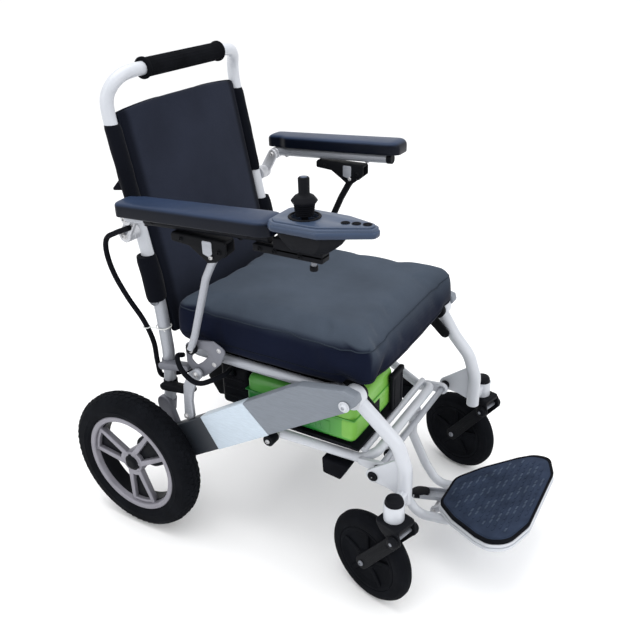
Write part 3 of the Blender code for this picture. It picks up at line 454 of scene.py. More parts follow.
beam_turn = (0, BEAM_ANGLE, 0)
MAT = {
    "white": painted("white_paint", (0.49, 0.51, 0.55)),
    "silver": brushed("silver_tube", (0.32, 0.335, 0.37), 0.42, 0.35),
    "beam": brushed("beam_anodised", (0.16, 0.18, 0.21), 0.46, 0.2, beam_turn),
    "cover": brushed("beam_cover", (0.46, 0.53, 0.6), 0.42, 0.2, beam_turn),
    # painted shadow: the beam's end by the tyre is coloured near-black for the tyre's shade
    "beam_tyre_shadow": brushed("beam_shadow", (0.017, 0.021, 0.028), 0.5, 0.1, beam_turn),
    "cast": cast("cast_aluminium", (0.5, 0.51, 0.54), 0.44, 0.45),
    "post": cast("post_coupling", (0.17, 0.18, 0.205), 0.46, 0.35),
    "arch": cast("seat_plate", (0.135, 0.14, 0.165), 0.44, 0.3),
    "rim": cast("rim_lacquer", (0.21, 0.205, 0.235), 0.42, 0.4),
    "zinc": cast("zinc_bolt", (0.5, 0.5, 0.51), 0.38, 0.7),
    "black_steel": plastic("black_powder_coat", (0.006, 0.0065, 0.008), 0.5, 800.0, 0.14, specular=0.05),
    "black": plastic("black_plastic", (0.005, 0.0055, 0.0075), 0.5),
    "motor": cast("motor_casing", (0.03, 0.032, 0.038), 0.46, 0.4),
    # armrest_skin: painted light and shade, the pad's top is coloured lighter navy and its sides near-black,
    # as light falls from above
    "navy": moulded("armrest_skin", (0.0022, 0.0036, 0.0085), (0.019, 0.032, 0.066), (-tan(ARM_TILT), 0, 1),
                    0.743, 0.75, coat=0.06, specular=0.1),
    # controller_shell: painted shade, the shell's sides darken towards the bottom where less light falls
    "shell": moulded("controller_shell", (0.018, 0.029, 0.056), (0.034, 0.054, 0.098), (0, 0, 1),
                     0.752, 0.764),
    "deck": plastic("controller_deck", (0.036, 0.056, 0.1), 0.38, 1500.0, 0.12, coat=0.15, specular=0.3),
    "tyre": rubber("tyre_rubber", (0.0052, 0.0058, 0.0075), 0.66),
    "rubber": rubber("black_rubber", (0.005, 0.0055, 0.0075), 0.6),
    "tread": rubber("footplate_rubber", (0.026, 0.036, 0.062), 0.6),
    "dash": rubber("footplate_studs", (0.05, 0.066, 0.1), 0.6),
    "foam": rubber("grip_foam", (0.005, 0.0055, 0.007), 0.85),
    # seat_cloth: painted light and shade, the top is light slate and the sides below are dark navy as light
    # falls from above; the flanks in y stay shaded up to the top seam
    "seat": cloth("seat_cloth", (0.0045, 0.0066, 0.017), (0.048, 0.061, 0.082), (0, 0, 1), 0.458, 0.524,
                  over=(0.172, 0.187, 0.506, 0.515)),
    # sling_cloth: painted shade, the cloth darkens towards each side edge where the panel turns back from the
    # light
    "sling": cloth("sling_cloth", (0.017, 0.0205, 0.033), (0.005, 0.0062, 0.011), (0, 1, 0), 0.15, 0.166,
                   folded=True, turn=(0, pi / 2 - BACK_LEAN, 0)),
    "sleeve": fabric("sleeve_cloth", (0.0045, 0.0052, 0.008)),
    "piping": fabric("piping_cloth", (0.006, 0.008, 0.014)),
    "seam": fabric("seat_seam", (0.022, 0.029, 0.041)),
    # battery colours: painted light, each shell grades lighter towards the front (+x); the lime lid is a
    # separate shell whose lighter tone also stands for light on the top
    "green": moulded("battery_shell", (0.01, 0.155, 0.022), (0.085, 0.33, 0.045), (1, 0, 0), 0.06, 0.15,
                     roughness=0.34, specular=0.3),
    "lime": moulded("battery_lid", (0.075, 0.29, 0.05), (0.165, 0.42, 0.055), (1, 0, 0), 0.02, 0.14,
                    roughness=0.34, specular=0.3),
    "red": plastic("lever_grip", (0.42, 0.02, 0.015), 0.4),
    "tie": plastic("cable_tie", (0.62, 0.63, 0.62), 0.4),
}


# ---------------------------------------------------------------- shells and pieces
def new_curve(splines, cyclic, dimensions):
    curve = bpy.data.curves.new("curve", "CURVE")
    curve.dimensions = dimensions
    for points in splines:
        spline = curve.splines.new("POLY")
        spline.points.add(len(points) - 1)
        for point, spot in zip(spline.points, points):
            spot = tuple(spot) + (0.0,) * (3 - len(spot))
            point.co = (*spot, 1.0)
        spline.use_cyclic_u = cyclic
    return bpy.data.objects.new("curve", curve)


def released(work):
    """The mesh of a bmesh, which is freed."""
    mesh = bpy.data.meshes.new("shell")
    work.to_mesh(mesh)
    work.free()
    return mesh


def skin(verts, faces, tidy=False):
    """A mesh with its doubled points joined and its faces turned outwards."""
    mesh = bpy.data.meshes.new("skin")
    mesh.from_pydata(verts, [], faces)
    work = bmesh.new()
    work.from_mesh(mesh)
    bpy.data.meshes.remove(mesh)
    bmesh.ops.remove_doubles(work, verts=work.verts, dist=0.000002)
    if tidy:
        bmesh.ops.dissolve_degenerate(work, edges=work.edges, dist=0.000001)
    bmesh.ops.recalc_face_normals(work, faces=work.faces)
    return released(work)


def bevelled_cube(size, bevel, segments):
    work = bmesh.new()
    bmesh.ops.create_cube(work, size=1.0)
    bmesh.ops.transform(work, matrix=Matrix.Diagonal((*size, 1.0)), verts=work.verts)
    bmesh.ops.bevel(work, geom=work.edges[:], offset=bevel, segments=segments, profile=0.5, affect="EDGES")
    return released(work)


class Piece:
    """Closed shells gathered into one object; each shell has a material of its own.

    A piece whose side is -1 mirrors the places and directions that it is given in y.
    """

    def __init__(self, side=1):
        self.work = bmesh.new()
        self.names = []
        self.side = side

    def placed(self, spot):
        return Vector((spot[0], self.side * spot[1], spot[2]))

    def add(self, mesh, mat, matrix=None):
        if mat not in self.names:
            self.names.append(mat)
        if matrix:
            mesh.transform(matrix)
        index = self.names.index(mat)
        mesh.polygons.foreach_set("material_index", [index] * len(mesh.polygons))
        self.work.from_mesh(mesh, face_normals=False, vertex_normals=False)
        bpy.data.meshes.remove(mesh)
        return self

    def from_curve(self, obj, mat, matrix):
        mesh = bpy.data.meshes.new_from_object(obj)
        curve = obj.data
        bpy.data.objects.remove(obj)
        bpy.data.curves.remove(curve)
        clean = bmesh.new()
        clean.from_mesh(mesh)
        bmesh.ops.remove_doubles(clean, verts=clean.verts, dist=0.000005)
        bmesh.ops.recalc_face_normals(clean, faces=clean.faces)
        clean.to_mesh(mesh)
        clean.free()
        return self.add(mesh, mat, matrix)

    def slice(self, outlines, thickness, mat, bevel, matrix):
        obj = new_curve(outlines, True, "2D")
        obj.data.fill_mode = "BOTH"
        bevel = min(bevel, thickness * 0.45)
        obj.data.extrude = thickness / 2 - bevel
        obj.data.bevel_depth = bevel
        obj.data.bevel_resolution = 2
        obj.data.offset = -bevel
        return self.from_curve(obj, mat, matrix)

    def plate(self, outlines, y_from, y_to, mat, bevel=0.0008):
        """A flat plate in the XZ plane; outlines after the first are holes."""
        middle = self.placed((0, (y_from + y_to) / 2, 0))
        place = Matrix.Translation(middle) @ Matrix.Rotation(pi / 2, 4, "X")
        return self.slice(outlines, abs(y_to - y_from), mat, bevel, place)

    def sheet(self, outlines, z_from, z_to, mat, bevel=0.0008):
        """A flat plate in the XY plane; outlines after the first are holes."""
        place = Matrix.Translation((0, 0, (z_from + z_to) / 2))
        return self.slice(outlines, z_to - z_from, mat, bevel, place)

    def box(self, low, high, mat, bevel=0.0012, segments=3):
        low, high = Vector(low), Vector(high)
        cube = bevelled_cube(high - low, bevel, segments)
        return self.add(cube, mat, Matrix.Translation(self.placed((low + high) / 2)))

    def rings(self, rows, mat, loop=False):
        """A skin over rows of points, each row a closed ring of the same count."""
        verts = [tuple(p) for row in rows for p in row]
        count = len(rows[0])
        faces = []
        spans = len(rows) if loop else len(rows) - 1
        for i in range(spans):
            base, after = i * count, ((i + 1) % len(rows)) * count
            for j in range(count):
                k = (j + 1) % count
                faces.append((base + j, base + k, after + k, after + j))
        if not loop:
            faces.append(tuple(range(count - 1, -1, -1)))
            faces.append(tuple(range(len(verts) - count, len(verts))))
        return self.add(skin(verts, faces), mat)

    def tube(self, points, radius, mat, sides=24, loop=False):
        """A round bar along a path, with softened ends."""
        points = [self.placed(point) for point in points]
        count = len(points)
        tangents = []
        for i in range(count):
            before = points[i - 1] if i or loop else points[i]
            after = points[(i + 1) % count] if i < count - 1 or loop else points[i]
            tangents.append((after - before).normalized())
        first = tangents[0].orthogonal().normalized()
        turns = [2 * pi * j / sides for j in range(sides)]
        rows = []
        for point, tangent in zip(points, tangents):
            first = (first - tangent * first.dot(tangent)).normalized()
            second = tangent.cross(first)
            rows.append([point + (first * cos(turn) + second * sin(turn)) * radius for turn in turns])
        if not loop:
            soft = min(0.0012, radius * 0.3)
            caps = []
            for end, inward in ((0, 1), (-1, -1)):
                caps.append([points[end] + (p - points[end]) * (1 - soft / radius) for p in rows[end]])
                rows[end] = [p + tangents[end] * soft * inward for p in rows[end]]
            rows = [caps[0]] + rows + [caps[1]]
        return self.rings(rows, mat, loop)

    def turned(self, profile, centre, axis, mat, steps=48, soft=0.0008, closed=False):
        """A solid of revolution from (radius, height) pairs, with softened corners.

        A section that isn't closed is carried on to the axis at both ends.
        """
        points = [(r, 0, h) for r, h in profile]
        if not closed and points[0][0] > 0:
            points.insert(0, (0, 0, points[0][2]))
        if not closed and points[-1][0] > 0:
            points.append((0, 0, points[-1][2]))
        if soft:
            points = rounded(points, soft, 2, closed)
        count = len(points)
        turns = [2 * pi * i / steps for i in range(steps)]
        verts = [(p[0] * cos(turn), p[0] * sin(turn), p[2]) for turn in turns for p in points]
        faces = []
        spans = count if closed else count - 1
        for i in range(steps):
            base, after = i * count, ((i + 1) % steps) * count
            for j in range(spans):
                k = (j + 1) % count
                faces.append((base + j, after + j, after + k, base + k))
        turn = Vector(UP).rotation_difference(self.placed(axis)).to_matrix().to_4x4()
        return self.add(skin(verts, faces, tidy=True), mat, Matrix.Translation(self.placed(centre)) @ turn)

    def rod(self, start, end, radius, mat, steps=32, soft=0.0008):
        run = Vector(end) - Vector(start)
        return self.turned(disc(radius, run.length), start, run, mat, steps, soft)

    def bolt(self, centre, axis, size, mat="zinc", washer="zinc"):
        """Button head with its socket, on a washer; size is the head's radius."""
        self.turned(disc(size * 1.35, size * 0.16), centre, axis, washer, 28, 0.0002)
        head = [(0, size * 0.42), (size * 0.42, size * 0.42), (size * 0.46, size * 0.86),
                (size * 0.74, size * 0.74), (size * 0.95, size * 0.42), (size, size * 0.14), (0, size * 0.14)]
        return self.turned(head, centre, axis, mat, 24, 0.0001)

    def done(self, name, body, *nodes, angle=38, mapped=None, ride=True):
        """Closes the piece: one object that rides on a body and stands for CAD nodes."""
        mesh = bpy.data.meshes.new(name)
        if mapped:
            bmesh.ops.transform(self.work, matrix=mapped, verts=self.work.verts)
        self.work.to_mesh(mesh)
        self.work.free()
        for mat in self.names:
            mesh.materials.append(MAT[mat])
        mesh.shade_smooth()
        mesh.set_sharp_from_angle(angle=radians(angle))
        obj = bpy.data.objects.new(name, mesh)
        scene.collection.objects.link(obj)
        if nodes:
            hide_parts(*nodes)
        if ride:
            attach(obj, body)
        return obj


# ---------------------------------------------------------------- cords
CABLE_RADIUS = 0.0052
CONTROL_ROUTE = (
    (-0.262, -0.246, 0.6775),
    (-0.3, -0.246, 0.661),
    (-0.328, -0.244, 0.644),
    (-0.341, -0.237, 0.61),
    (-0.338, -0.229, 0.564),
    (-0.318, -0.222, 0.515),
    (-0.288, -0.217, 0.468),
    (-0.2745, -0.211, 0.42),
    (-0.275, -0.207, 0.37),
    (-0.28, -0.192, 0.33),
    (-0.27, -0.15, 0.318),
    (-0.23, -0.105, 0.322),
)
DOCK_ROUTE = (
    (-0.21, -0.2, 0.402),
    (-0.202, -0.226, 0.414),
    (-0.186, -0.2385, 0.398),
    (-0.164, -0.2395, 0.38),
    (-0.14, -0.2385, 0.377),
    (-0.118, -0.227, 0.385),
    (-0.108, -0.198, 0.386),
    (-0.118, -0.169, 0.379),
    (-0.126, -0.156, 0.359),
)


def build_cords():
    for name, route in (("control_cable", CONTROL_ROUTE), ("dock_cable", DOCK_ROUTE)):
        points = smooth_path(route, PATH_STEP)
        cable = Piece().tube(points, CABLE_RADIUS, "rubber", 14).done(f"{name}_flex", "rear_frame", name)


build_cords()


# ---------------------------------------------------------------- rear frame
def side_beam(label, side):
    """Extruded bar in three lengths: near-black end by the wheel as painted shadow of the tyre, bright
    sleeve, long grey part.
    """
    low, high = BEAM_IN, BEAM_OUT
    split_a, split_b = (0.205, 0.205), (0.35, 0.33)
    nose = [beam_point(*p) for p in arc((0.0, -0.0055), 0.0375, 90, 270, 20)]
    rear = nose + [beam_point(split_a[1], BEAM_BOTTOM), beam_point(split_a[0], BEAM_TOP)]
    sleeve = [(split_a[1], BEAM_BOTTOM - 0.0006), (split_b[0], BEAM_BOTTOM - 0.0006),
              (split_b[1], BEAM_TOP + 0.0006), (split_a[0], BEAM_TOP + 0.0006)]
    front = [(split_b[0] - 0.004, BEAM_BOTTOM), (0.54, BEAM_BOTTOM), (0.573, -0.036), (0.5775, -0.022),
             (0.56, -0.004), (0.476, 0.03), (0.455, BEAM_TOP), (split_b[1] - 0.004, BEAM_TOP)]
    beam = Piece(side)
    # the length by the wheel is painted near-black: painted shadow of the tyre on the beam
    beam.plate([rear, circle(AXLE, AXLE_BORE)], low, high, "beam_tyre_shadow", 0.0022)
    beam.plate([flat([beam_point(*p) for p in sleeve], 0.0015, 3)], BEAM_IN - 0.0002,
               BEAM_OUT + 0.0009, "cover", 0.0012)
    beam.plate([flat([beam_point(*p) for p in front], 0.006), circle(LEG_PIVOT, 0.0083)], low, high,
               "beam", 0.0022)
    beam.done(f"{label}_beam_bar", "rear_frame", f"{label}_side_beam")


def gear_motor(label, side):
    """Round casing that steps in towards its end, with two cooling grooves and a cable gland."""
    profile = [(0.024, 0.062), (0.03, 0.058), (0.03, 0.0495), (0.0285, 0.049), (0.0285, 0.0465),
               (0.03, 0.046), (0.03, 0.0435), (0.0285, 0.043), (0.0285, 0.0405), (0.03, 0.04), (0.03, 0.036),
               (0.036, 0.03), (0.0375, 0.0145), (0.04, 0.014), (0.04, 0.004), (0.0385, 0.0),
               (AXLE_BORE, 0.0), (AXLE_BORE, 0.02)]
    start = BEAM_IN - GAP
    motor = Piece(side).turned(profile, at(AXLE, start), IN, "motor", 56, 0.0006)
    for index in range(6):
        x, z = around(AXLE, 0.0335, radians(30 + 60 * index))
        motor.bolt((x, start - 0.0285, z), IN, 0.0024, "zinc", "motor")
    gland = (AXLE[0] + 0.024, start - 0.052, AXLE[1] + 0.02)
    motor.rod(gland, (gland[0] + 0.011, gland[1], gland[2] + 0.012), 0.0052, "black", 20)
    motor.done(f"{label}_gear_motor", "rear_frame", f"{label}_motor")


def freewheel_lever(label, side):
    """Red handle on the motor's end, which frees the wheel from its motor."""
    hub = BEAM_IN - 0.0623
    lever = Piece(side).rod(at(AXLE, hub - GAP), at(AXLE, hub - 0.01), 0.01, "black", 32, 0.001)
    tip = (AXLE[0] - 0.04, AXLE[1] + 0.026)
    lever.plate([slab(AXLE, tip, 0.008, 0.006)], hub - 0.003, hub - 0.009, "red", 0.0018)
    lever.bolt(at(AXLE, hub - 0.0098), IN, 0.0045)
    lever.done(f"{label}_lever_handle", f"{label}_lever", f"{label}_freewheel_lever")


def rear_strut(label, side):
    """Cranked bar from the beam up to the seat frame's side plate."""
    outline = [beam_point(0.148, BEAM_TOP + GAP), beam_point(0.178, BEAM_TOP + GAP), (-0.1765, 0.316),
               (-0.172, 0.34), (-0.16, 0.366), (-0.142, 0.386), (-0.154, 0.402), (-0.178, 0.384),
               (-0.194, 0.352), (-0.1965, 0.325)]
    strut = Piece(side).plate([flat(outline, 0.01)], 0.2192, 0.2292, "silver", 0.0034)
    x, z = beam_point(0.163, BEAM_TOP + 0.01)
    strut.bolt((x, 0.229, z), OUT, 0.0048)
    strut.bolt((-0.158, 0.229, 0.386), OUT, 0.0048)
    strut.done(f"{label}_strut_bar", "rear_frame", f"{label}_rear_strut")


def lower_post(label, side):
    """Bent tube from the beam's foot plate up to the backrest's hinge, with its two clamped links."""
    path = [(-0.269, POST_Y, 0.262), (-0.259, POST_Y, 0.312),
            (-0.2535, POST_Y, 0.4), (-0.259, POST_Y, 0.48),
            (-0.2655, POST_Y, 0.543)]
    post = Piece(side).tube(rounded(path, 0.1, 5), POST_RADIUS, "silver", 28)
    sole = beam_point(0.075, 0.012)
    post.plate([slab((-0.268, 0.276), sole, 0.017, 0.024)], POST_Y + 0.006,
               BEAM_IN - GAP, "arch", 0.0025)
    post.rod(at(sole, 0.196), at(sole, 0.2005), 0.0135, "post", 32)
    post.bolt(at(sole, 0.1965), IN, 0.0058)
    post.tube([(-0.2705, POST_Y, 0.2545), (-0.2655, POST_Y, 0.283)], 0.015, "arch", 28)
    hinge = [slab((-0.2625, 0.515), BACK_HINGE, 0.012, 0.015), circle(BACK_HINGE, 0.0053)]
    post.plate(hinge, POST_Y + POST_RADIUS + GAP, POST_Y + POST_RADIUS + 0.0045, "post")
    post.rod((-0.2625, POST_Y + 0.006, 0.512), (-0.2625, 0.211, 0.512), 0.0085, "post", 28)
    for low, high, mat in (((-0.256, 0.372), (-0.192, 0.384), "arch"),
                           ((-0.259, 0.322), (-0.19, 0.33), "black_steel")):
        post.plate([slab(low, high, 0.008, 0.0065)], POST_Y + 0.006, 0.2189, mat, 0.0018)
        post.bolt((high[0] + 0.001, 0.2005, high[1]), IN, 0.004, "zinc", mat)
    for z, x, mat in ((0.372, -0.2551, "arch"), (0.322, -0.2578, "black_steel")):
        post.tube([(x, POST_Y, z - 0.0085), (x + 0.0002, POST_Y, z + 0.0085)], 0.0146, mat, 28)
    post.done(f"{label}_post_tube", "rear_frame", f"{label}_lower_post")


def seat_frame():
    """Tube loop with a slatted board, a slotted plate at each side and a link to each front leg."""
    z, rail_y = SEAT_FRAME_Z, 0.185
    corners = [(-0.205, -rail_y, z), (0.133, -rail_y, z), (0.133, rail_y, z), (-0.205, rail_y, z)]
    seat = Piece().tube(rounded(corners, 0.03, 8, closed=True), 0.01, "silver", 24, loop=True)
    seat.box((-0.198, -0.178, z - 0.0025), (0.126, 0.178, z + 0.0025), "black", 0.0015)
    for x in (-0.14, -0.08, -0.02, 0.04, 0.1):
        seat.box((x - 0.011, -0.172, z - 0.0055), (x + 0.011, 0.172, z - 0.002), "black", 0.0015)
    for seat.side in (-1, 1):
        slot = flat([(-0.1745, 0.411), (-0.169, 0.428), (-0.15, 0.44), (-0.132, 0.44),
                     (-0.13, 0.429), (-0.148, 0.411), (-0.162, 0.401)], 0.006)
        edge = flat([(-0.186, 0.4), (-0.186, 0.443), (-0.162, 0.456), (-0.117, 0.464),
                     (-0.088, 0.45), (-0.103, 0.418), (-0.132, 0.39), (-0.15, 0.376),
                     (-0.17, 0.384)], 0.01)
        seat.plate([edge, slot], 0.2135, 0.2185, "arch", 0.0018)
        seat.rod((-0.13, 0.178, z), (-0.13, 0.214, z), 0.008, "post", 28)
        seat.rod(at(STRUT_FOOT, 0.216), at(STRUT_FOOT, 0.23), 0.005, "zinc", 24)
        seat.bolt(at(STRUT_FOOT, 0.2296), OUT, 0.005, "black_steel", "zinc")
        for x, height in ((-0.104, 0.448), (-0.118, 0.414)):
            seat.bolt((x, 0.2183, height), OUT, 0.0036)
        # link from the seat frame's front corner down to the leg's hinge
        seat.plate([slab((0.12, 0.452), (0.197, 0.379), 0.013, 0.0105)], 0.164, 0.17,
                   "black_steel", 0.0018)
        seat.bolt((0.172, 0.1642, 0.403), IN, 0.005, "black_steel", "black_steel")
    seat.done("seat_frame_tube", "rear_frame", "seat_frame")


def battery():
    """Ribbed case in two shells, with a carrying handle; the lime front end is painted light on the lit
    front.
    """
    low, high = (-0.088, -0.167, 0.288), (0.156, 0.01, 0.374)
    case = Piece()
    case.box(low, (high[0], high[1], 0.3475), "green", 0.0145, 6)
    case.box((low[0] + 0.002, low[1] + 0.002, 0.318), (high[0] - 0.002, high[1] - 0.002, high[2]), "lime",
             0.015, 6)
    case.box((low[0] - 0.0002, low[1] - 0.0002, 0.3395), (high[0] + 0.0002, high[1] + 0.0002, 0.342),
             "green", 0.0011, 2)
    # lime front end: painted light where light falls on the front of the case
    case.box((0.118, low[1] - 0.0002, low[2] + 0.003), (high[0] + 0.0002, high[1] + 0.0002, 0.346), "lime",
             0.013, 6)
    for index in range(5):
        x = -0.045 + 0.032 * index
        case.box((x, low[1] - 0.001, 0.303), (x + 0.022, low[1] + 0.004, 0.328), "green", 0.0016)
    grip = rounded([(0.0, -0.0785, 0.366), (0.004, -0.0785, 0.3755), (0.074, -0.0785, 0.3755),
                    (0.078, -0.0785, 0.366)], 0.005, 5)
    case.tube(grip, 0.0042, "black", 16)
    case.box((0.15, -0.1, 0.305), (0.1566, -0.06, 0.335), "black", 0.002)
    case.done("battery_shell", "rear_frame", "battery_case")


def battery_tray():
    """Shallow tray on cross ribs, with the latch that holds the battery at the front."""
    tray = Piece().box((-0.092, -0.169, 0.279), (0.166, 0.016, 0.285), "black", 0.002)
    for y in (-0.1665, 0.013):
        tray.box((-0.086, y - 0.0018, 0.284), (0.15, y + 0.0018, 0.2873), "black", 0.001)
    for x in (-0.06, -0.01, 0.04, 0.09):
        tray.box((x, -0.16, 0.2772), (x + 0.012, 0.008, 0.28), "black", 0.0008)
    tray.box((0.1575, -0.022, 0.28), (0.166, 0.028, 0.358), "black", 0.0025)
    tray.box((0.1565, -0.0245, 0.3545), (0.168, 0.0305, 0.366), "black", 0.004, 4)
    for y in (-0.012, 0.018):
        tray.box((0.164, y - 0.0015, 0.29), (0.1672, y + 0.0015, 0.352), "black", 0.0008)
    tray.done("battery_cradle", "rear_frame", "battery_tray")


def battery_dock():
    """Connector block behind the battery, finned on top, with the cable's strain relief."""
    dock = Piece().box((-0.16, -0.15, 0.279), (-0.0925, 0.06, 0.374), "black", 0.0095, 5)
    for index in range(6):
        y = -0.125 + 0.03 * index
        dock.box((-0.15, y, 0.3725), (-0.103, y + 0.012, 0.3755), "black", 0.0012)
    for z in (0.3, 0.32, 0.34):
        dock.box((-0.1505, -0.1515, z), (-0.102, -0.148, z + 0.006), "black", 0.0012)
    dock.rod((-0.126, -0.15, 0.354), (-0.1262, -0.1556, 0.359), 0.0068, "rubber", 24)
    dock.done("battery_dock_shell", "rear_frame", "battery_dock")


def motor_controller():
    """Flat box between cooling fins, with the control cable's strain relief."""
    outline = flat([(-0.226, 0.3), (-0.214, 0.345), (-0.168, 0.352), (-0.1605, 0.33), (-0.1605, 0.27),
                    (-0.2, 0.262)], 0.005)
    deep = flat([(-0.218, 0.302), (-0.208, 0.339), (-0.168, 0.346), (-0.1605, 0.33), (-0.1605, 0.27),
                 (-0.197, 0.268)], 0.004)
    box = Piece().plate([deep], -0.109, 0.059, "black_steel", 0.002)
    count = 15
    for index in range(count):
        y = -0.11 + 0.1656 * index / (count - 1)
        box.plate([outline], y, y + 0.0044, "black_steel", 0.0012)
    box.rod((-0.233, -0.105, 0.3212), (-0.213, -0.101, 0.3222), 0.0062, "rubber", 24)
    box.done("motor_controller_case", "rear_frame", "motor_controller")


def cross_tubes():
    """Round bars between the beams, with a collar at each end."""
    reach = BEAM_IN - GAP
    for name, spot in (("front_cross_tube", (0.475, -0.0245)), ("rear_cross_tube", (0.135, -0.022))):
        x, z = beam_point(*spot)
        bar = Piece().rod((x, -reach, z), (x, reach, z), 0.0115, "white", 32)
        for bar.side in (-1, 1):
            bar.rod((x, reach - 0.012, z), (x, reach - 0.0002, z), 0.0135, "post", 32)
        bar.done(f"{name}_bar", "rear_frame", name)


# ---------------------------------------------------------------- rear wheels
def tyre(label, side):
    """Tyre with a ribbed tread of slanted blocks and a ring moulded into each wall."""
    centre = at(AXLE, side * WHEEL_Y)
    half = WHEEL_WIDTH / 2
    section = [(RIM_RADIUS + GAP, half - 0.0045), (0.1175, half - 0.0015), (0.1245, half),
               (0.1252, half + 0.0008), (0.1268, half + 0.0008), (0.1275, half), (0.142, half - 0.0004),
               (0.15, half - 0.0062), (0.1545, half - 0.015), (0.15595, 0.0)]
    body = Piece().turned(mirrored(section), centre, (0, side, 0), "tyre", 120, 0.0008, closed=True)
    count = 60
    # each row's place across the tyre, half width of a block, radius and stagger
    rows = ((0.0, 0.0042, 0.1558, 0.0), (0.0112, 0.004, 0.1547, 0.5), (0.0195, 0.003, 0.1508, 0.0))
    for offset, wide, radius, phase in rows:
        for edge in ((1,) if offset == 0.0 else (-1, 1)):
            for index in range(count):
                turn = 2 * pi * (index + phase) / count
                lean = atan2(offset, 0.03) * edge
                mesh = bevelled_cube((0.0022, 2 * wide, 0.0118), 0.0006, 1)
                spin = Matrix.Rotation(-turn, 4, "Y")
                tip = Matrix.Rotation(lean, 4, "Z")
                skew = Matrix.Rotation(edge * 0.42, 4, "X")
                place = Matrix.Translation(centre) @ spin @ Matrix.Translation((radius, edge * offset, 0))
                body.add(mesh, "tyre", place @ tip @ skew)
    body.done(f"{label}_tyre_rubber", f"{label}_wheel", f"{label}_tyre", angle=32)


def rim(label, side):
    """Cast rim: ring with its well, three forked spokes with dark webs, hub and cap."""
    centre = at(AXLE, WHEEL_Y)
    half = WHEEL_WIDTH / 2 - 0.0045
    ring = [(0.1005, half - 0.002), (0.1025, half), (0.1105, half), (RIM_RADIUS, half - 0.0015),
            (RIM_RADIUS, -half), (0.101, -half), (0.0995, -half + 0.004), (0.0985, 0.004),
            (0.099, half - 0.012)]
    wheel = Piece(side).turned(ring, centre, OUT, "rim", 96, 0.0008, closed=True)
    well = [(0.0992, half - 0.012), (0.1, -half + 0.003), (0.0975, -half + 0.003), (0.097, half - 0.012)]
    wheel.turned(well, centre, OUT, "black", 96, 0.0003, closed=True)
    inner_end = BEAM_OUT + 0.0013 - WHEEL_Y
    hub = [(0.0195, 0.0155), (0.0225, 0.018), (0.024, 0.018), (0.0262, 0.015), (0.0265, 0.004),
           (0.022, inner_end), (0.01, inner_end), (0.01, inner_end - 0.04)]
    wheel.turned(hub, centre, OUT, "rim", 56, 0.001)
    cap = [(0.0085, 0.024), (0.0125, 0.0228), (0.014, 0.0195), (0.018, 0.018), (0.0185, 0.015)]
    wheel.turned(cap, centre, OUT, "black", 48, 0.0008)
    for index in range(3):
        base = radians(SPOKE_START + 120 * index)
        pair = []
        for lean in (-1, 1):
            first, last = base + lean * radians(33), base + lean * radians(16)
            start, end = around(AXLE, 0.0215, first), around(AXLE, 0.1025, last)
            pair.append((start, end))
            wheel.plate([slab(start, end, 0.0062, 0.0048)], WHEEL_Y + 0.004,
                        WHEEL_Y + 0.018, "rim", 0.0022)
        web = [pair[0][0], pair[0][1], pair[1][1], pair[1][0]]
        wheel.plate([web], WHEEL_Y + 0.002, WHEEL_Y + 0.009, "black", 0.001)
        outer = [around(AXLE, 0.0995, base + radians(a)) for a in range(-18, 19, 3)]
        near = [around(AXLE, 0.0925, base + radians(a)) for a in range(18, -19, -3)]
        wheel.plate([outer + near], WHEEL_Y + 0.004, WHEEL_Y + 0.0178, "rim", 0.0016)
        hub_arc = [around(AXLE, 0.031, base + radians(a)) for a in range(-30, 31, 5)]
        wheel.plate([hub_arc + [AXLE]], WHEEL_Y + 0.004, WHEEL_Y + 0.0176, "rim", 0.0014)
    wheel.done(f"{label}_rim_cast", f"{label}_wheel", f"{label}_rim")


for name, sign in SIDES:
    side_beam(name, sign)
    gear_motor(name, sign)
    freewheel_lever(name, sign)
    rear_strut(name, sign)
    lower_post(name, sign)
    tyre(name, sign)
    rim(name, sign)
seat_frame()
battery()
battery_tray()
battery_dock()
motor_controller()
cross_tubes()


# ---------------------------------------------------------------- front frame
def front_leg(label, side):
    """Bent tube from the beam's pivot to the caster's head tube, with the gusset between them."""
    path = [at(LEG_PIVOT, 0.197), (0.214, 0.184, 0.369),
            (0.25, LEG_Y, 0.332), (0.2655, LEG_Y, 0.285), (0.2655, LEG_Y, 0.213)]
    leg = Piece(side).tube(rounded(path, 0.055, 9), 0.0132, "white", 32)
    x, z = LEG_PIVOT
    knuckle = [(0.019, 0.0267), (0.0205, 0.025), (0.0205, 0.002), (0.0188, 0.0)]
    leg.turned(knuckle, (x, 0.186, z), OUT, "white", 48)
    plug = [(0.015, 0.0105), (0.0178, 0.0082), (0.0184, 0.0)]
    leg.turned(plug, (x, 0.1862, z), IN, "black", 40)
    leg.rod((x, 0.2, z), (x, BEAM_OUT + 0.0022, z), 0.008, "zinc", 32)
    leg.bolt((x, BEAM_OUT + 0.0008, z), OUT, 0.0078, "white", "white")
    centre = (SWIVEL[0], SWIVEL[1], HEAD_BOTTOM)
    socket = [(0.0188, 0.033), (0.019, 0.0325), (0.019, 0.0), (0.0085, 0.0), (0.0085, 0.032)]
    leg.turned(socket, centre, UP, "white", 48, 0.0006)
    cap = [(0.0, 0.046), (0.0105, 0.0452), (0.0148, 0.043), (0.0162, 0.04), (0.0162, 0.0368),
           (0.0172, 0.036), (0.0174, 0.0318), (0.0168, 0.031)]
    leg.turned(cap, centre, UP, "black", 48, 0.0008)
    low, high = 0.186, 0.218
    leg.box((0.257, low, 0.2235), (0.276, high, 0.2445), "white", 0.004, 4)
    for height in (0.2235, 0.2445):
        leg.tube([(0.2665, 0.19, height), (0.2672, 0.216, height)], 0.0024, "white", 12)
    outline = [(0.262, 0.312), (0.262, 0.222), (0.232, 0.233)] + arc(FRAME_PIVOT, 0.0145, 290, 115, 14)
    leg.plate([outline, circle(FRAME_PIVOT, SHAFT_BORE)], 0.1765, 0.1845, "white", 0.002)
    leg.done(f"{label}_leg_tube", "front_frame", f"{label}_front_leg")


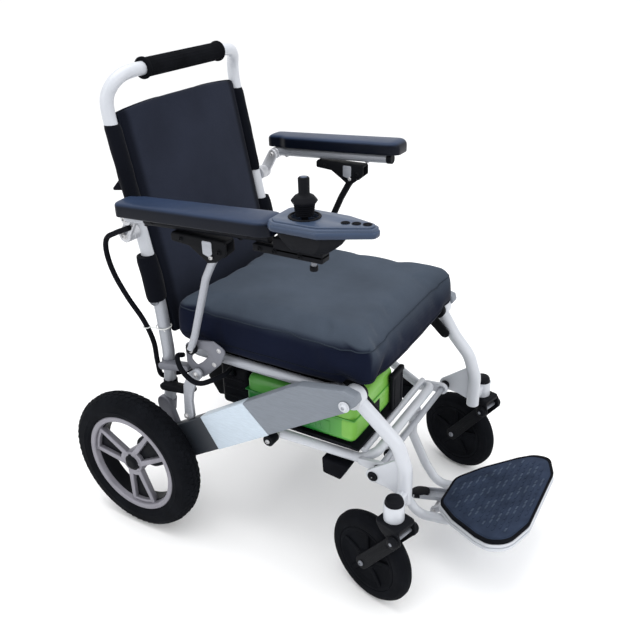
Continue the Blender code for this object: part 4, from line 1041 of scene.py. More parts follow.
def front_pivot_shaft():
    """Shaft through both legs that the lower frame turns on."""
    x, z = FRAME_PIVOT
    shaft = Piece().rod((x, -0.1855, z), (x, 0.1855, z), 0.006, "silver", 28)
    for shaft.side in (-1, 1):
        ring = [(0.004, 0.0048), (0.0044, 0.0026), (0.0086, 0.003), (0.0108, 0.0)]
        shaft.turned(ring, (x, 0.1847, z), OUT, "black", 36, 0.0006)
        shaft.turned([(0, 0.0016), (0.0036, 0.0012), (0.0036, 0)], (x, 0.188, z), OUT, "zinc", 24, 0.0003)
        shaft.rod((x, 0.1612, z), (x, 0.1755, z), 0.0095, "black", 28)
    shaft.done("front_pivot_rod", "front_frame", "front_pivot_shaft")


def lower_frame():
    """U tube that runs back to a track roller under each beam."""
    bend_x, bend_y, bend_z = FRAME_BEND
    path = []
    for _, side in SIDES:
        half = [at(TRACK_ROLLER, side * FRAME_END_Y), (bend_x, side * bend_y, bend_z),
                (CROSS[0], side * (bend_y - 0.014), CROSS[1])]
        path += half if side < 0 else half[::-1]
    bars = Piece().tube(rounded(path, 0.018, 7), FRAME_TUBE, "white", 28)
    bars.rod((0.163, -0.142, 0.266), (0.163, 0.142, 0.266), 0.0065, "white", 28)
    for bars.side in (-1, 1):
        lug = slab((0.168, 0.25), FRAME_PIVOT, 0.008, 0.0125)
        bars.plate([lug, circle(FRAME_PIVOT, SHAFT_BORE)], 0.15, 0.16, "white", 0.002)
        bars.rod((0.166, 0.138, 0.25), (0.166, 0.159, 0.25), 0.0078, "white", 28)
        x, z = TRACK_ROLLER
        bars.rod((x, FRAME_END_Y - 0.004, z), (x, 0.2075, z), 0.0095, "zinc", 32)
        wheel = [(0.0102, 0.023), (0.0115, 0.0215), (0.0115, 0.0015), (0.0102, 0.0)]
        bars.turned(wheel, (x, 0.208, z), OUT, "black", 40, 0.0006)
        bars.bolt((x, 0.2308, z), OUT, 0.0046, "zinc", "black")
        bars.bolt((x, FRAME_END_Y - 0.0095, z), IN, 0.005)
    bars.done("lower_frame_tubes", "lower_frame", "lower_frame")


def rubber_foot(label, side):
    """Wedge with a ribbed sole under the lower frame, which the folded chair stands on."""
    bend_x, bend_y, bend_z = FRAME_BEND
    x = 0.118
    share = (x - bend_x) / (TRACK_ROLLER[0] - bend_x)
    y = side * (bend_y + (FRAME_END_Y - bend_y) * share)
    z = bend_z + (TRACK_ROLLER[1] - bend_z) * share - 0.0145
    outline = [(x - 0.03, z), (x - 0.028, z - 0.036), (x + 0.01, z - 0.04), (x + 0.03, z - 0.004)]
    foot = Piece().plate([flat(outline, 0.004)], y - 0.015, y + 0.015, "rubber", 0.003)
    sole = [(x - 0.024, z - 0.034), (x - 0.024, z - 0.0385), (x + 0.008, z - 0.0418), (x + 0.008, z - 0.036)]
    for offset in (-0.009, 0.0, 0.009):
        foot.plate([sole], y + offset - 0.003, y + offset + 0.003, "rubber", 0.0008)
    foot.done(f"{label}_foot_block", "lower_frame", f"{label}_rubber_foot")


def footrest_hanger():
    """Two bent tubes that carry the footplate, on a pin with a knob at each end."""
    below = TRAY_DEPTH + 0.0128
    hanger = Piece()
    for hanger.side in (-1, 1):
        y = HANGER_Y
        path = [(CROSS[0] - 0.002, y, CROSS[1] - 0.011), (0.178, y, 0.19), (0.212, y, 0.12),
                (0.243, y, 0.0775), (0.3, y, foot_height(0.3) - below),
                (0.4, y, foot_height(0.4) - below)]
        hanger.tube(rounded(path, 0.035, 8), FRAME_TUBE, "white", 28)
        hanger.tube([(0.398, y, foot_height(0.398) - below), (0.4045, y, foot_height(0.4045) - below)],
                    0.0101, "black", 28)
        hanger.tube([(CROSS[0] - 0.002, y, CROSS[1] - 0.01), (CROSS[0] - 0.0026, y, CROSS[1] - 0.019)],
                    0.0118, "white", 28)
    z = foot_height(0.385) - below
    hanger.rod((0.385, -HANGER_Y, z), (0.385, HANGER_Y, z), 0.006, "white", 28)
    hanger.rod((0.181, -0.0585, 0.215), (0.181, 0.0585, 0.215), 0.0055, "zinc", 28)
    knob = [(0.0062, 0.011), (0.0088, 0.009), (0.0092, 0.003), (0.0075, 0.0)]
    for hanger.side in (-1, 1):
        hanger.turned(knob, (0.181, 0.064, 0.215), OUT, "black", 32, 0.001)
        hanger.turned(disc(0.0042, 0.001), (0.181, 0.0748, 0.215), OUT, "zinc", 24, 0.0002)
    hanger.done("footrest_tubes", "lower_frame", "footrest_hanger")


# ---------------------------------------------------------------- footplate
def plate_outline(scale=1.0, radius=0.032):
    """Rounded triangle of the footplate in plan: narrow at the back, wide at the front."""
    half = [(0.281, 0.044), (0.324, 0.089), (0.386, 0.134), (0.416, 0.149), (0.452, 0.142), (0.473, 0.085)]
    points = [(0.385 + (x - 0.385) * scale, y * scale) for x, y in half]
    return flat(points + [(x, -y) for x, y in reversed(points)], radius, 8)


def plate_half(x):
    """Half of the pad's width at x, well inside its rounded edge."""
    knots = ((0.29, 0.036), (0.324, 0.08), (0.386, 0.124), (0.412, 0.134), (0.44, 0.13), (0.462, 0.055))
    for (xa, ya), (xb, yb) in zip(knots, knots[1:]):
        if xa <= x <= xb:
            return ya + (yb - ya) * (x - xa) / (xb - xa)
    return 0.0


def footplate():
    """Sloping tray, studded mat and the channel between the hinge lugs."""
    shear = Matrix.Identity(4)
    shear[2][0] = FOOT_SLOPE
    shear[2][3] = FOOT_ZERO
    tray = Piece()
    tray.sheet([plate_outline()], -TRAY_DEPTH, -0.0105, "white", 0.003)
    tray.sheet([plate_outline(0.985)], -0.011, -0.0022, "white", 0.0035)
    for tray.side in (-1, 1):
        for x in (0.31, 0.39):
            tray.rod((x, HANGER_Y, -TRAY_DEPTH + 0.001), (x, HANGER_Y, -TRAY_DEPTH - 0.0008),
                     0.008, "zinc", 28)
    tray.work.transform(shear)
    for tray.side in (-1, 1):
        tray.plate([slab(FOOT_HINGE, (0.292, foot_height(0.292) - 0.012), 0.0075, 0.0045)], 0.03,
                   0.038, "cast", 0.0015)
        tray.bolt(at(FOOT_HINGE, 0.044), OUT, 0.0042)
    x, z = FOOT_HINGE
    tray.rod((x, -0.0445, z), (x, 0.0445, z), 0.0045, "zinc", 28)
    tray.done("footplate_shell", "footplate", "footplate_tray")

    pad = Piece().sheet([plate_outline(0.975)], -0.0019, 0.004, "tread", 0.0018)
    pad.sheet([plate_outline(0.978), plate_outline(0.925, 0.03)], -0.0019, 0.0046, "rubber", 0.0012)
    pad.sheet([plate_outline(0.905, 0.029)], 0.003, 0.0052, "tread", 0.001)
    rows = 15
    for row in range(rows):
        x = 0.3 + 0.0112 * row
        reach = plate_half(x) - 0.012
        count = int((reach - 0.006) / 0.0135)
        for index in range(-count, count + 1):
            y = 0.0135 * index + (0.00675 if row % 2 else 0.0)
            if abs(y) > reach:
                continue
            mat = "dash" if (row * 7 + index * 3) % 5 in (0, 2) else "tread"
            pad.sheet([slab((x, y - 0.0042), (x + 0.0012, y + 0.0042), 0.0018, 0.0018, 4)], 0.0046, 0.0068,
                      mat, 0.0007)
    pad.done("footplate_mat", "footplate", "footplate_pad", mapped=shear)

    bar = Piece()
    for bar.side in (-1, 1):
        bar.box((0.215, 0.0125, -0.016), (0.28, 0.016, -0.006), "silver", 0.0012)
    bar.box((0.215, -0.014, -0.016), (0.28, 0.014, -0.013), "silver", 0.001)
    bar.sheet([slab((0.22, 0.0), (0.229, 0.0), 0.0162, 0.0162)], -0.0163, -0.0045, "black", 0.003)
    bar.bolt((0.238, 0.0, -0.0128), UP, 0.0045)
    bar.done("footplate_channel", "footplate", "footplate_bar", mapped=shear)


# ---------------------------------------------------------------- casters
def casters():
    """Per side: crown, sprung fork and wheel, built straight and then swivelled."""
    hub = (-CASTER_TRAIL, CASTER_RADIUS)
    for label, side in SIDES:
        turn = Matrix.Translation((SWIVEL[0], side * SWIVEL[1], 0)) @ Matrix.Rotation(CASTER_TURN, 4, "Z")
        crown = Piece()
        top = flat([(-0.024, -0.0245), (0.03, -0.0245), (0.03, 0.0245), (-0.024, 0.0245)], 0.007, 6)
        crown.sheet([top], 0.204, HEAD_BOTTOM - GAP, "black", 0.0026)
        crown.turned(disc(0.0192, 0.0015, -0.002), (0, 0, HEAD_BOTTOM - 0.002), UP, "black", 48, 0.0005)
        for crown.side in (-1, 1):
            outline = [(-0.022, 0.208), (-0.012, 0.195)] + arc(CASTER_BOLT, 0.0128, 215, 380, 16)
            outline += [(0.0298, 0.208)]
            crown.plate([outline, circle(CASTER_BOLT, 0.0043)], 0.0196, 0.0246, "black", 0.0016)
        block = flat([(-0.014, 0.206), (-0.01, 0.192), (0.01, 0.186), (0.012, 0.206)], 0.004)
        crown.plate([block], -0.0165, 0.0165, "rubber", 0.003)
        crown.done(f"{label}_crown_casting", f"{label}_caster", f"{label}_caster_crown", mapped=turn)

        arm = Piece()
        bolt_x, bolt_z = CASTER_BOLT
        arm.rod((bolt_x, -0.03, bolt_z), (bolt_x, 0.03, bolt_z), 0.004, "post", 28)
        arm.rod(at(hub, -0.03), at(hub, 0.03), 0.005, "zinc", 28)
        for arm.side in (-1, 1):
            arm.plate([slab(hub, CASTER_BOLT, 0.0135, 0.0125)], 0.0248, 0.0296, "black_steel", 0.0018)
            rib = slab((hub[0] + 0.014, hub[1] + 0.018), (bolt_x - 0.014, bolt_z - 0.018), 0.0042, 0.0038)
            arm.plate([rib], 0.029, 0.0302, "black_steel", 0.0008)
            arm.bolt(at(hub, 0.0292), OUT, 0.0056, "post", "black_steel")
            boss = [(0.006, 0.0052), (0.0098, 0.004), (0.0112, 0.001), (0.0112, 0)]
            arm.turned(boss, (bolt_x, 0.0292, bolt_z), OUT, "black", 40, 0.0008)
            arm.turned(disc(0.0034, 0.0008), (bolt_x, 0.0342, bolt_z), OUT, "post", 20, 0.0002)
        arm.done(f"{label}_caster_fork", f"{label}_caster_arm", f"{label}_caster_arm", mapped=turn)

        half = CASTER_WIDTH / 2
        section = [(0.0053, half + 0.003), (0.015, half + 0.003), (0.018, half + 0.0015),
                   (0.02, half - 0.004), (0.03, half - 0.0062), (0.052, half - 0.0062),
                   (0.0585, half - 0.0032), (0.061, half - 0.0012), (0.065, half - 0.001),
                   (0.0656, half - 0.0022), (0.0668, half - 0.0022), (0.0675, half - 0.0006),
                   (0.078, half - 0.0006), (0.085, half - 0.0028), (0.09, half - 0.0088),
                   (CASTER_RADIUS, half - 0.0135), (CASTER_RADIUS, 0.0)]
        centre = at(hub, 0)
        wheel = Piece().turned(mirrored(section), centre, OUT, "tyre", 96, 0.0009, closed=True)
        for wheel.side in (-1, 1):
            for index in range(5):
                turned_by = 2 * pi * index / 5 + 0.3
                ends = [around(hub, radius, turned_by) for radius in (0.018, 0.0555)]
                wheel.plate([slab(*ends, 0.0052, 0.004)], 0.006, half - 0.0022, "tyre", 0.0016)
        wheel.done(f"{label}_caster_tyre", f"{label}_caster_wheel", f"{label}_caster_wheel", mapped=turn)


for name, sign in SIDES:
    front_leg(name, sign)
    rubber_foot(name, sign)
front_pivot_shaft()
lower_frame()
footrest_hanger()
footplate()
casters()


# ---------------------------------------------------------------- backrest
def back_frame():
    """Both back posts and the handle in one bent tube."""
    path = []
    for _, side in SIDES:
        half = [(*lean_point(height), POST_Y) for height in (-0.008, 0.08, 0.16, 0.24, 0.305)]
        half += [(-0.329, 0.893, 0.1925), (-0.321, 0.916, 0.184), (-0.313, 0.931, 0.165),
                 (HANDLE[0], HANDLE[1], 0.138), (HANDLE[0], HANDLE[1], 0.1)]
        half = [(x, side * y, z) for x, z, y in half]
        path += half if side < 0 else half[::-1]
    tube = Piece().tube(smooth_path(path, PATH_STEP), POST_RADIUS, "white", 32)
    for tube.side in (-1, 1):
        tube.rod(at(BACK_HINGE, POST_Y), at(BACK_HINGE, 0.213), 0.005, "zinc", 28)
        tube.bolt(at(BACK_HINGE, 0.2112), OUT, 0.0065)
    tube.done("back_tube", "backrest", "back_frame")


def push_grip():
    """Foam sleeve, fluted finely along its length, with a rolled collar at each end."""
    bore = POST_RADIUS + GAP
    half = [(bore, 0.116), (0.0186, 0.116), (0.0202, 0.1145), (0.0202, 0.1108), (0.0184, 0.1085),
            (0.0173, 0.106), (0.0171, 0.03)]
    profile = half + [(radius, -height) for radius, height in reversed(half)]
    grip = Piece().turned(profile, at(HANDLE, 0), (0, 1, 0), "foam", 64, 0.001, closed=True)
    for index in range(18):
        x, z = around(HANDLE, 0.0164, 2 * pi * index / 18)
        grip.tube([(x, -0.1045, z), (x, 0.1045, z)], 0.0013, "foam", 8)
    grip.done("push_grip_foam", "backrest", "push_grip")


# ---------------------------------------------------------------- arms
def arm_clevis(label, side):
    """Casting on the back post that the armrest hinges on."""
    start = POST_Y + POST_RADIUS + 0.0008
    x, z = POST_CLEVIS
    casting = Piece(side)
    boss = [(0.0125, 0.0312), (0.0142, 0.0295), (0.0145, 0.02), (0.0138, 0.019), (0.0138, 0.0165),
            (0.0145, 0.0155), (0.0145, 0.002), (0.013, 0.0)]
    casting.turned(boss, (x, start, z), OUT, "cast", 48)
    casting.plate([slab(POST_CLEVIS, ARM_HINGE, 0.012, 0.0115)], 0.2285, 0.2385, "cast", 0.003)
    casting.plate([slab((-0.283, 0.662), (-0.266, 0.69), 0.005, 0.005)], 0.2375, 0.239, "post", 0.0006)
    casting.bolt((x, 0.238, z), OUT, 0.0058)
    casting.bolt(at(ARM_HINGE, 0.229), IN, 0.0052)
    casting.done(f"{label}_clevis_casting", f"{label}_clevis", f"{label}_arm_clevis")


def arm_rail(label, side):
    """Tube under the arm pad, with the eye of its hinge at the back."""
    tip = 0.05 + PAD_SHIFT[side]
    start = (ARM_HINGE[0] + 0.002, ARM_Y, rail_height(ARM_HINGE[0]))
    near, far = ARM_HINGE[0] + 0.048, tip - 0.004
    rail = Piece(side).tube([start, (near, ARM_Y, rail_height(near))], RAIL_TUBE, "silver", 32)
    # the right rail's middle length is black: painted shade under the pad on what is the same silver tube as
    # the left
    rail.tube([(near - 0.001, ARM_Y, rail_height(near - 0.001)), (far, ARM_Y, rail_height(far))],
              RAIL_TUBE, "black" if side < 0 else "silver", 32)
    end = [(tip - 0.012, ARM_Y, rail_height(tip - 0.012)), (tip, ARM_Y, rail_height(tip))]
    rail.tube(end, 0.0112, "black", 32)
    x, z = ARM_HINGE
    eye = [(0.0108, 0.017), (0.0125, 0.0155), (0.0125, 0.0015), (0.0112, 0.0)]
    rail.turned(eye, (x, 0.239, z), OUT, "cast", 48, 0.0006)
    rail.bolt((x, 0.2558, z), OUT, 0.0056)
    for place in (-0.215, -0.01):
        x = place + PAD_SHIFT[side]
        # the right rail's bolts are dark: painted shade under the pad
        mat = "black_steel" if side < 0 else "zinc"
        rail.bolt((x, ARM_Y, rail_height(x) - 0.01), DOWN, 0.0042, mat, mat)
        rail.bolt((x + 0.022, ARM_Y + 0.01, rail_height(x + 0.022)), OUT, 0.0034, mat, mat)
    rail.done(f"{label}_rail_tube", f"{label}_arm", f"{label}_arm_rail")


def arm_bracket(label, side):
    """Channel under the rail that the head of the brace strut sits in."""
    top = rail_height(-0.15) + BRACKET_TOP
    bracket = Piece(side).box((-0.1485, 0.2375, top - 0.006), (-0.0355, 0.2625, top),
                          "black_steel", 0.0015)
    outline = [(-0.15, top - 0.001), (-0.15, top - 0.016), (-0.112, top - 0.019), (-0.088, 0.66),
               (-0.074, 0.65), (-0.056, 0.654), (-0.034, 0.672), (-0.034, top - 0.001)]
    for y in (0.2365, 0.2595):
        bracket.plate([flat(outline, 0.004)], y, y + 0.004, "black_steel", 0.0012)
    for x, z, size in ((-0.066, 0.662, 0.0042), (-0.048, 0.674, 0.0046), (-0.128, top - 0.009, 0.0036)):
        mat = "zinc" if z < 0.67 else "black_steel"
        bracket.bolt((x, 0.2634, z), OUT, size, mat, "black_steel")
        bracket.bolt((x, 0.2366, z), IN, size, mat, "black_steel")
    tab = flat([(-0.082, top - 0.004), (-0.082, top - 0.028), (-0.07, top - 0.032), (-0.062, top - 0.026),
                (-0.062, top - 0.004)], 0.003)
    bracket.plate([tab], 0.2635, 0.2652, "silver", 0.0006)
    bracket.plate([tab], 0.2365, 0.2348, "silver", 0.0006)
    bracket.done(f"{label}_bracket_channel", f"{label}_arm", f"{label}_arm_bracket")


def arm_pad(label, side):
    """Moulded pad: flat base, upright sides and a crowned top whose edge rolls over."""
    shift = PAD_SHIFT[side]
    first, last = -0.262 + shift, 0.069 + shift
    outer = ((first, 0.022), (-0.245 + shift, 0.0285), (-0.15, 0.0292), (-0.04, 0.0305),
             (0.04 + shift, 0.032), (last, 0.029))
    inner_edge = ((first, 0.02), (-0.248, 0.0203), (-0.222, 0.0285), (-0.04, 0.0305),
                  (0.04 + shift, 0.032), (last, 0.029))

    def reach(x, knots):
        for (xa, wa), (xb, wb) in zip(knots, knots[1:]):
            if x <= xb:
                t = max(0.0, (x - xa) / (xb - xa))
                return wa + (wb - wa) * t * t * (3 - 2 * t)
        return knots[-1][1]

    rows = []
    count = 80
    nose, tail = 0.02, 0.013
    for index in range(count + 1):
        share = index / count
        x = first + (last - first) * (share - sin(2 * pi * share) / (2 * pi) * 0.75)
        ahead = min(1.0, (last - x) / nose)
        behind = min(1.0, (x - first) / tail)
        shrink = sqrt(max(0.0, 1 - (1 - ahead) ** 2)) * sqrt(max(0.0, 1 - (1 - behind) ** 2))
        floor = rail_height(x) + PAD_FLOOR
        thick = 0.0262 * (0.55 + 0.45 * shrink) if shrink > 0.05 else 0.013
        widths = (reach(x, outer), reach(x, inner_edge))
        row = []
        for step in range(48):
            turn = 2 * pi * step / 48
            across, height = cos(turn), sin(turn)
            wide = widths[0] if across > 0 else widths[1]
            wide = (wide - 0.012) + 0.012 * shrink if shrink > 0.05 else wide - 0.012
            power = 0.3 if height > 0 else 0.16
            y = wide * abs(across) ** power * (1 if across > 0 else -1)
            z = 0.5 + 0.5 * abs(height) ** power * (1 if height > 0 else -1)
            crown = 0.0014 * (1 - (y / wide) ** 2) if height > 0 else 0.0
            row.append((x, side * (0.2595 + y), floor + thick * z + crown))
        rows.append(row)
    pad = Piece().rings(rows, "navy")
    # the steel strip under the pad, which the rail is screwed to
    strip = flat([(first + 0.03, side * 0.246), (last - 0.03, side * 0.246),
                  (last - 0.03, side * 0.273), (first + 0.03, side * 0.273)], 0.006)
    tilt = Matrix.Identity(4)
    tilt[2][0] = tan(ARM_TILT)
    tilt[2][3] = rail_height(0.0) + PAD_FLOOR
    base = Piece().sheet([strip], -0.0012, 0.0006, "black_steel", 0.0005)
    for x in (first + 0.05, last - 0.06):
        base.bolt((x, side * 0.2655, -0.0008), DOWN, 0.0034, "black_steel", "black_steel")
    base.done(f"{label}_pad_strip", f"{label}_arm", mapped=tilt)
    obj = pad.done(f"{label}_pad_skin", f"{label}_arm", f"{label}_arm_pad", angle=60)


def arm_strut(label, side):
    """Cranked brace from the seat frame up into the arm bracket."""
    path = [at(STRUT_FOOT, 0.227), (-0.15, 0.2275, 0.475),
            (-0.094, 0.248, 0.612), (-0.072, ARM_Y, 0.652),
            at(STRUT_HEAD, ARM_Y)]
    # the left (far) brace is black_steel while the right is silver: painted shade on the far brace
    brace = Piece(side).tube(rounded(path, 0.08, 6), 0.0072, "silver" if side < 0 else "black_steel", 28)
    x, z = STRUT_FOOT
    eye = [(0.0053, 0.0105), (0.0108, 0.0105), (0.0115, 0.0095), (0.0115, 0.001), (0.0108, 0.0),
           (0.0053, 0.0)]
    brace.turned(eye, (x, 0.219, z), OUT, "black", 48, 0.0004, closed=True)
    brace.tube([(STRUT_HEAD[0] - 0.008, ARM_Y, STRUT_HEAD[1] - 0.0072),
                (STRUT_HEAD[0] + 0.001, ARM_Y, STRUT_HEAD[1] + 0.0009)], 0.008, "black", 28)
    brace.done(f"{label}_brace", f"{label}_strut", f"{label}_arm_strut")


# ---------------------------------------------------------------- joystick controller
def pod_outline(inset=0.0):
    """The controller's plan, drawn in from its edge."""
    loop = [(0.077, -0.3), (0.088, -0.31), (0.168, -0.31), (0.243, -0.27), (0.246, -0.252),
            (0.19, -0.232), (0.095, -0.23), (0.077, -0.24)]
    middle = Vector((0.15, -0.268))
    shrunk = []
    for spot in loop:
        away = Vector(spot) - middle
        shrunk.append(tuple(middle + away * (1 - inset / away.length)))
    return flat(shrunk, 0.01, 8)


def controller():
    """Joystick controller: deck, chin with its clamp, ball, stick with its boot, and buttons."""
    holes = [circle(STICK[:2], 0.0212, 48)] + [circle(spot, 0.0056, 24) for spot in BUTTONS]
    shell = Piece().sheet([pod_outline(0.0)] + holes, POD_JOINT, 0.762, "shell", 0.004)
    shell.sheet([pod_outline(0.002)] + holes, 0.76, 0.7655, "deck", 0.0018)
    shell.sheet([pod_outline(0.007)] + holes, 0.764, POD_TOP, "deck", 0.0012)
    ring = [(0.0214, 0.0), (0.0214, 0.0022), (0.0228, 0.003), (0.0252, 0.0018), (0.026, 0.0)]
    shell.turned(ring, (STICK[0], STICK[1], POD_TOP - 0.0006), UP, "black", 56, 0.0004, closed=True)
    for x, y in BUTTONS:
        rim_ring = [(0.0058, 0.0), (0.0058, 0.0012), (0.007, 0.001), (0.0074, 0.0)]
        shell.turned(rim_ring, (x, y, POD_TOP - 0.0004), UP, "black", 36, 0.0002, closed=True)
    shell.done("controller_shell", "right_arm", "controller_housing")

    # the chin: one skin that narrows smoothly from the joint down to the clamp
    middle = Vector((0.118, -0.256, 0.0))
    rows = []
    for height, wide in ((POD_JOINT - GAP, 0.93), (0.744, 0.95), (0.738, 0.92), (0.73, 0.84), (0.722, 0.72),
                         (0.715, 0.6), (0.7095, 0.5), (0.7085, 0.46)):
        row = []
        for x, y in flat([(0.072, -0.278), (0.086, -0.29), (0.165, -0.29), (0.206, -0.264),
                          (0.168, -0.24), (0.072, -0.24)], 0.01, 8):
            spot = middle + (Vector((x, y, 0.0)) - middle) * wide
            row.append((spot.x, min(spot.y, -0.2385), height))
        rows.append(row)
    base = Piece().rings(rows, "black")
    base.box((0.02, -0.262, 0.69), (0.15, -0.238, rail_height(0.02) + BRACKET_TOP), "black", 0.0022)
    base.box((0.06, -0.262, 0.696), (0.15, -0.238, 0.72), "black", 0.0022)
    for x in (0.034, 0.062, 0.11):
        base.bolt((x, -0.2618, 0.6965), (0, -1, 0), 0.004, "black_steel", "black_steel")
    base.rod((0.128, -0.25, 0.6905), (0.128, -0.25, 0.679), 0.0046, "post", 28)
    base.rod((0.128, -0.25, 0.68), (0.128, -0.25, 0.672), 0.0068, "black", 28)
    for x in (0.1, 0.14):
        base.bolt((x, -0.2635, 0.7092), DOWN, 0.0032)
    base.done("controller_foot", "right_arm", "controller_base")

    ball = [(0.006 * sin(radians(a)), 0.006 * cos(radians(a))) for a in range(0, 181, 15)]
    Piece().turned(ball, STICK, UP, "zinc", 32, 0.0).done("joystick_ball", "joystick_gimbal",
                                                               "joystick_gimbal")
    profile = [(0.0074, 0.073), (0.0088, 0.0715), (0.0086, 0.049), (0.0098, 0.047),
               (0.0155, 0.044), (0.0202, 0.0385), (0.0202, 0.0362), (0.0175, 0.0325), (0.016, 0.031),
               (0.01, 0.03)]
    stick = Piece().turned(profile, STICK, UP, "black", 12, 0.0005)
    boot = [(0.0, 0.0315)]
    heights = 5
    for fold in range(heights):
        low = 0.031 - 0.0034 * fold
        boot += [(0.0138, low), (0.0162 - 0.0004 * fold, low - 0.001), (0.0162 - 0.0004 * fold, low - 0.002),
                 (0.0136, low - 0.003)]
    boot += [(0.005, 0.013), (0.005, 0.007)]
    stick.turned(boot, STICK, UP, "rubber", 48, 0.0003)
    stick.turned(disc(0.0052, 0.0006, -0.001),
                 (STICK[0], STICK[1], STICK[2] + 0.0728), UP, "deck", 36, 0.0003)
    stick.done("joystick_lever", "joystick", "joystick", angle=28)
    for index, (x, y) in enumerate(BUTTONS, 1):
        top = [(0.0, 0.01), (0.003, 0.0102), (0.0046, 0.0106), (0.0053, 0.0098), (0.0053, 0.0)]
        Piece().turned(top, (x, y, POD_TOP - 0.0092), UP, "rubber", 36, 0.0004).done(
            f"button_cap_{index}", f"button_{index}", f"controller_button_{index}")


back_frame()
push_grip()
for name, sign in SIDES:
    arm_clevis(name, sign)
    arm_rail(name, sign)
    arm_bracket(name, sign)
    arm_pad(name, sign)
    arm_strut(name, sign)
controller()


# ---------------------------------------------------------------- soft goods
def settle(obj, voxel, pressure, cap, pinned):
    """Blows a remeshed block up as cloth; no point moves further than the cap."""
    obj.data.remesh_voxel_size = voxel
    bpy.context.view_layer.objects.active = obj
    bpy.ops.object.voxel_remesh()
    mesh = obj.data
    group = obj.vertex_groups.new(name="pinned")
    group.add([v.index for v in mesh.vertices if pinned(v.co)], 1.0, "REPLACE")
    cloth = obj.modifiers.new("Cloth", "CLOTH")
    cloth.settings.quality = 5
    cloth.settings.mass = 0.3
    cloth.settings.tension_stiffness = 15
    cloth.settings.bending_stiffness = 0.5
    cloth.settings.use_pressure = True
    cloth.settings.uniform_pressure_force = pressure
    cloth.settings.effector_weights.gravity = 0.0
    cloth.settings.vertex_group_mass = "pinned"
    cloth.point_cache.frame_start = 1
    cloth.point_cache.frame_end = CLOTH_FRAMES
    for step in range(1, CLOTH_FRAMES + 1):
        scene.frame_set(step)
    graph = bpy.context.evaluated_depsgraph_get()
    swollen = [v.co.copy() for v in obj.evaluated_get(graph).data.vertices]
    obj.modifiers.remove(cloth)
    obj.vertex_groups.clear()
    scene.frame_set(1)
    for vertex, spot in zip(mesh.vertices, swollen):
        move = spot - vertex.co
        if move.length > cap:
            move *= cap / move.length
        vertex.co += move


def refine(obj, shape, smoothing=3):
    """Evens the mesh out, divides it once and lets a function place each point."""
    work = bmesh.new()
    work.from_mesh(obj.data)
    for _ in range(smoothing):
        bmesh.ops.smooth_vert(work, verts=work.verts, factor=0.5, use_axis_x=True, use_axis_y=True,
                              use_axis_z=True)
    bmesh.ops.recalc_face_normals(work, faces=work.faces)
    work.to_mesh(obj.data)
    work.free()
    divide = obj.modifiers.new("Subdivision", "SUBSURF")
    divide.levels = 1
    graph = bpy.context.evaluated_depsgraph_get()
    mesh = bpy.data.meshes.new_from_object(obj.evaluated_get(graph))
    obj.modifiers.remove(divide)
    places = [(vertex.co.copy(), vertex.normal.copy()) for vertex in mesh.vertices]
    for vertex, place in zip(mesh.vertices, places):
        vertex.co = shape(*place)
    obj.data = mesh
    mesh.shade_smooth()


def welt(obj, points, radius, name, body, mat="piping"):
    """Corded seam that follows the nearest skin of a cushion."""
    tree = BVHTree.FromObject(obj, bpy.context.evaluated_depsgraph_get())
    spots = [tree.find_nearest(p)[0] for p in points]
    count = len(spots)
    for _ in range(2):
        spots = [(spots[i - 1] + spots[i] * 2 + spots[(i + 1) % count]) / 4 for i in range(count)]
    return Piece().tube(spots, radius, mat, 10, loop=True).done(name, body)


def seat_cushion():
    """Foam cushion in a sewn cover: crowned top, boxed sides, two corded seams."""
    block = Piece().box((-0.232, -0.202, 0.427), (0.207, 0.202, 0.518), "seat", 0.028, 6)
    cushion = block.done("seat_cushion_cover", "rear_frame", "seat_cushion", ride=False)
    settle(cushion, 0.006, 4.0, 0.016, lambda co: co.z < 0.43)

    def shape(co, normal):
        # the underside steps up over the front legs' hubs
        step = min(max((co.x - 0.136) / 0.016, 0.0), 1.0)
        floor = 0.4255 + 0.0205 * step
        co.z = max(co.z, floor)
        if normal.z > 0.5:
            # the rider's weight has left the middle a little lower and the cloth a little slack
            hollow = max(0.0, 1 - (co.x / 0.19) ** 2) * max(0.0, 1 - (co.y / 0.18) ** 2)
            co.z -= 0.004 * hollow
            co.z += 0.001 * noise.noise(co * 11.0)
        else:
            drape = noise.noise(Vector((co.x * 16, co.y * 16, co.z * 5)))
            co += normal * 0.0016 * drape
        co.z = min(co.z, 0.5335)
        co.y = max(min(co.y, 0.2125), -0.2125)
        return co

    refine(cushion, shape)
    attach(cushion, "rear_frame")
    for name, z, mat in (("seat_top_seam", 0.512, "seam"), ("seat_low_seam", 0.452, "piping")):
        corners = [(-0.232, -0.206, z), (0.208, -0.206, z), (0.208, 0.206, z), (-0.232, 0.206, z)]
        welt(cushion, divided(rounded(corners, 0.03, 10, closed=True)), 0.0012, name, "rear_frame", mat)


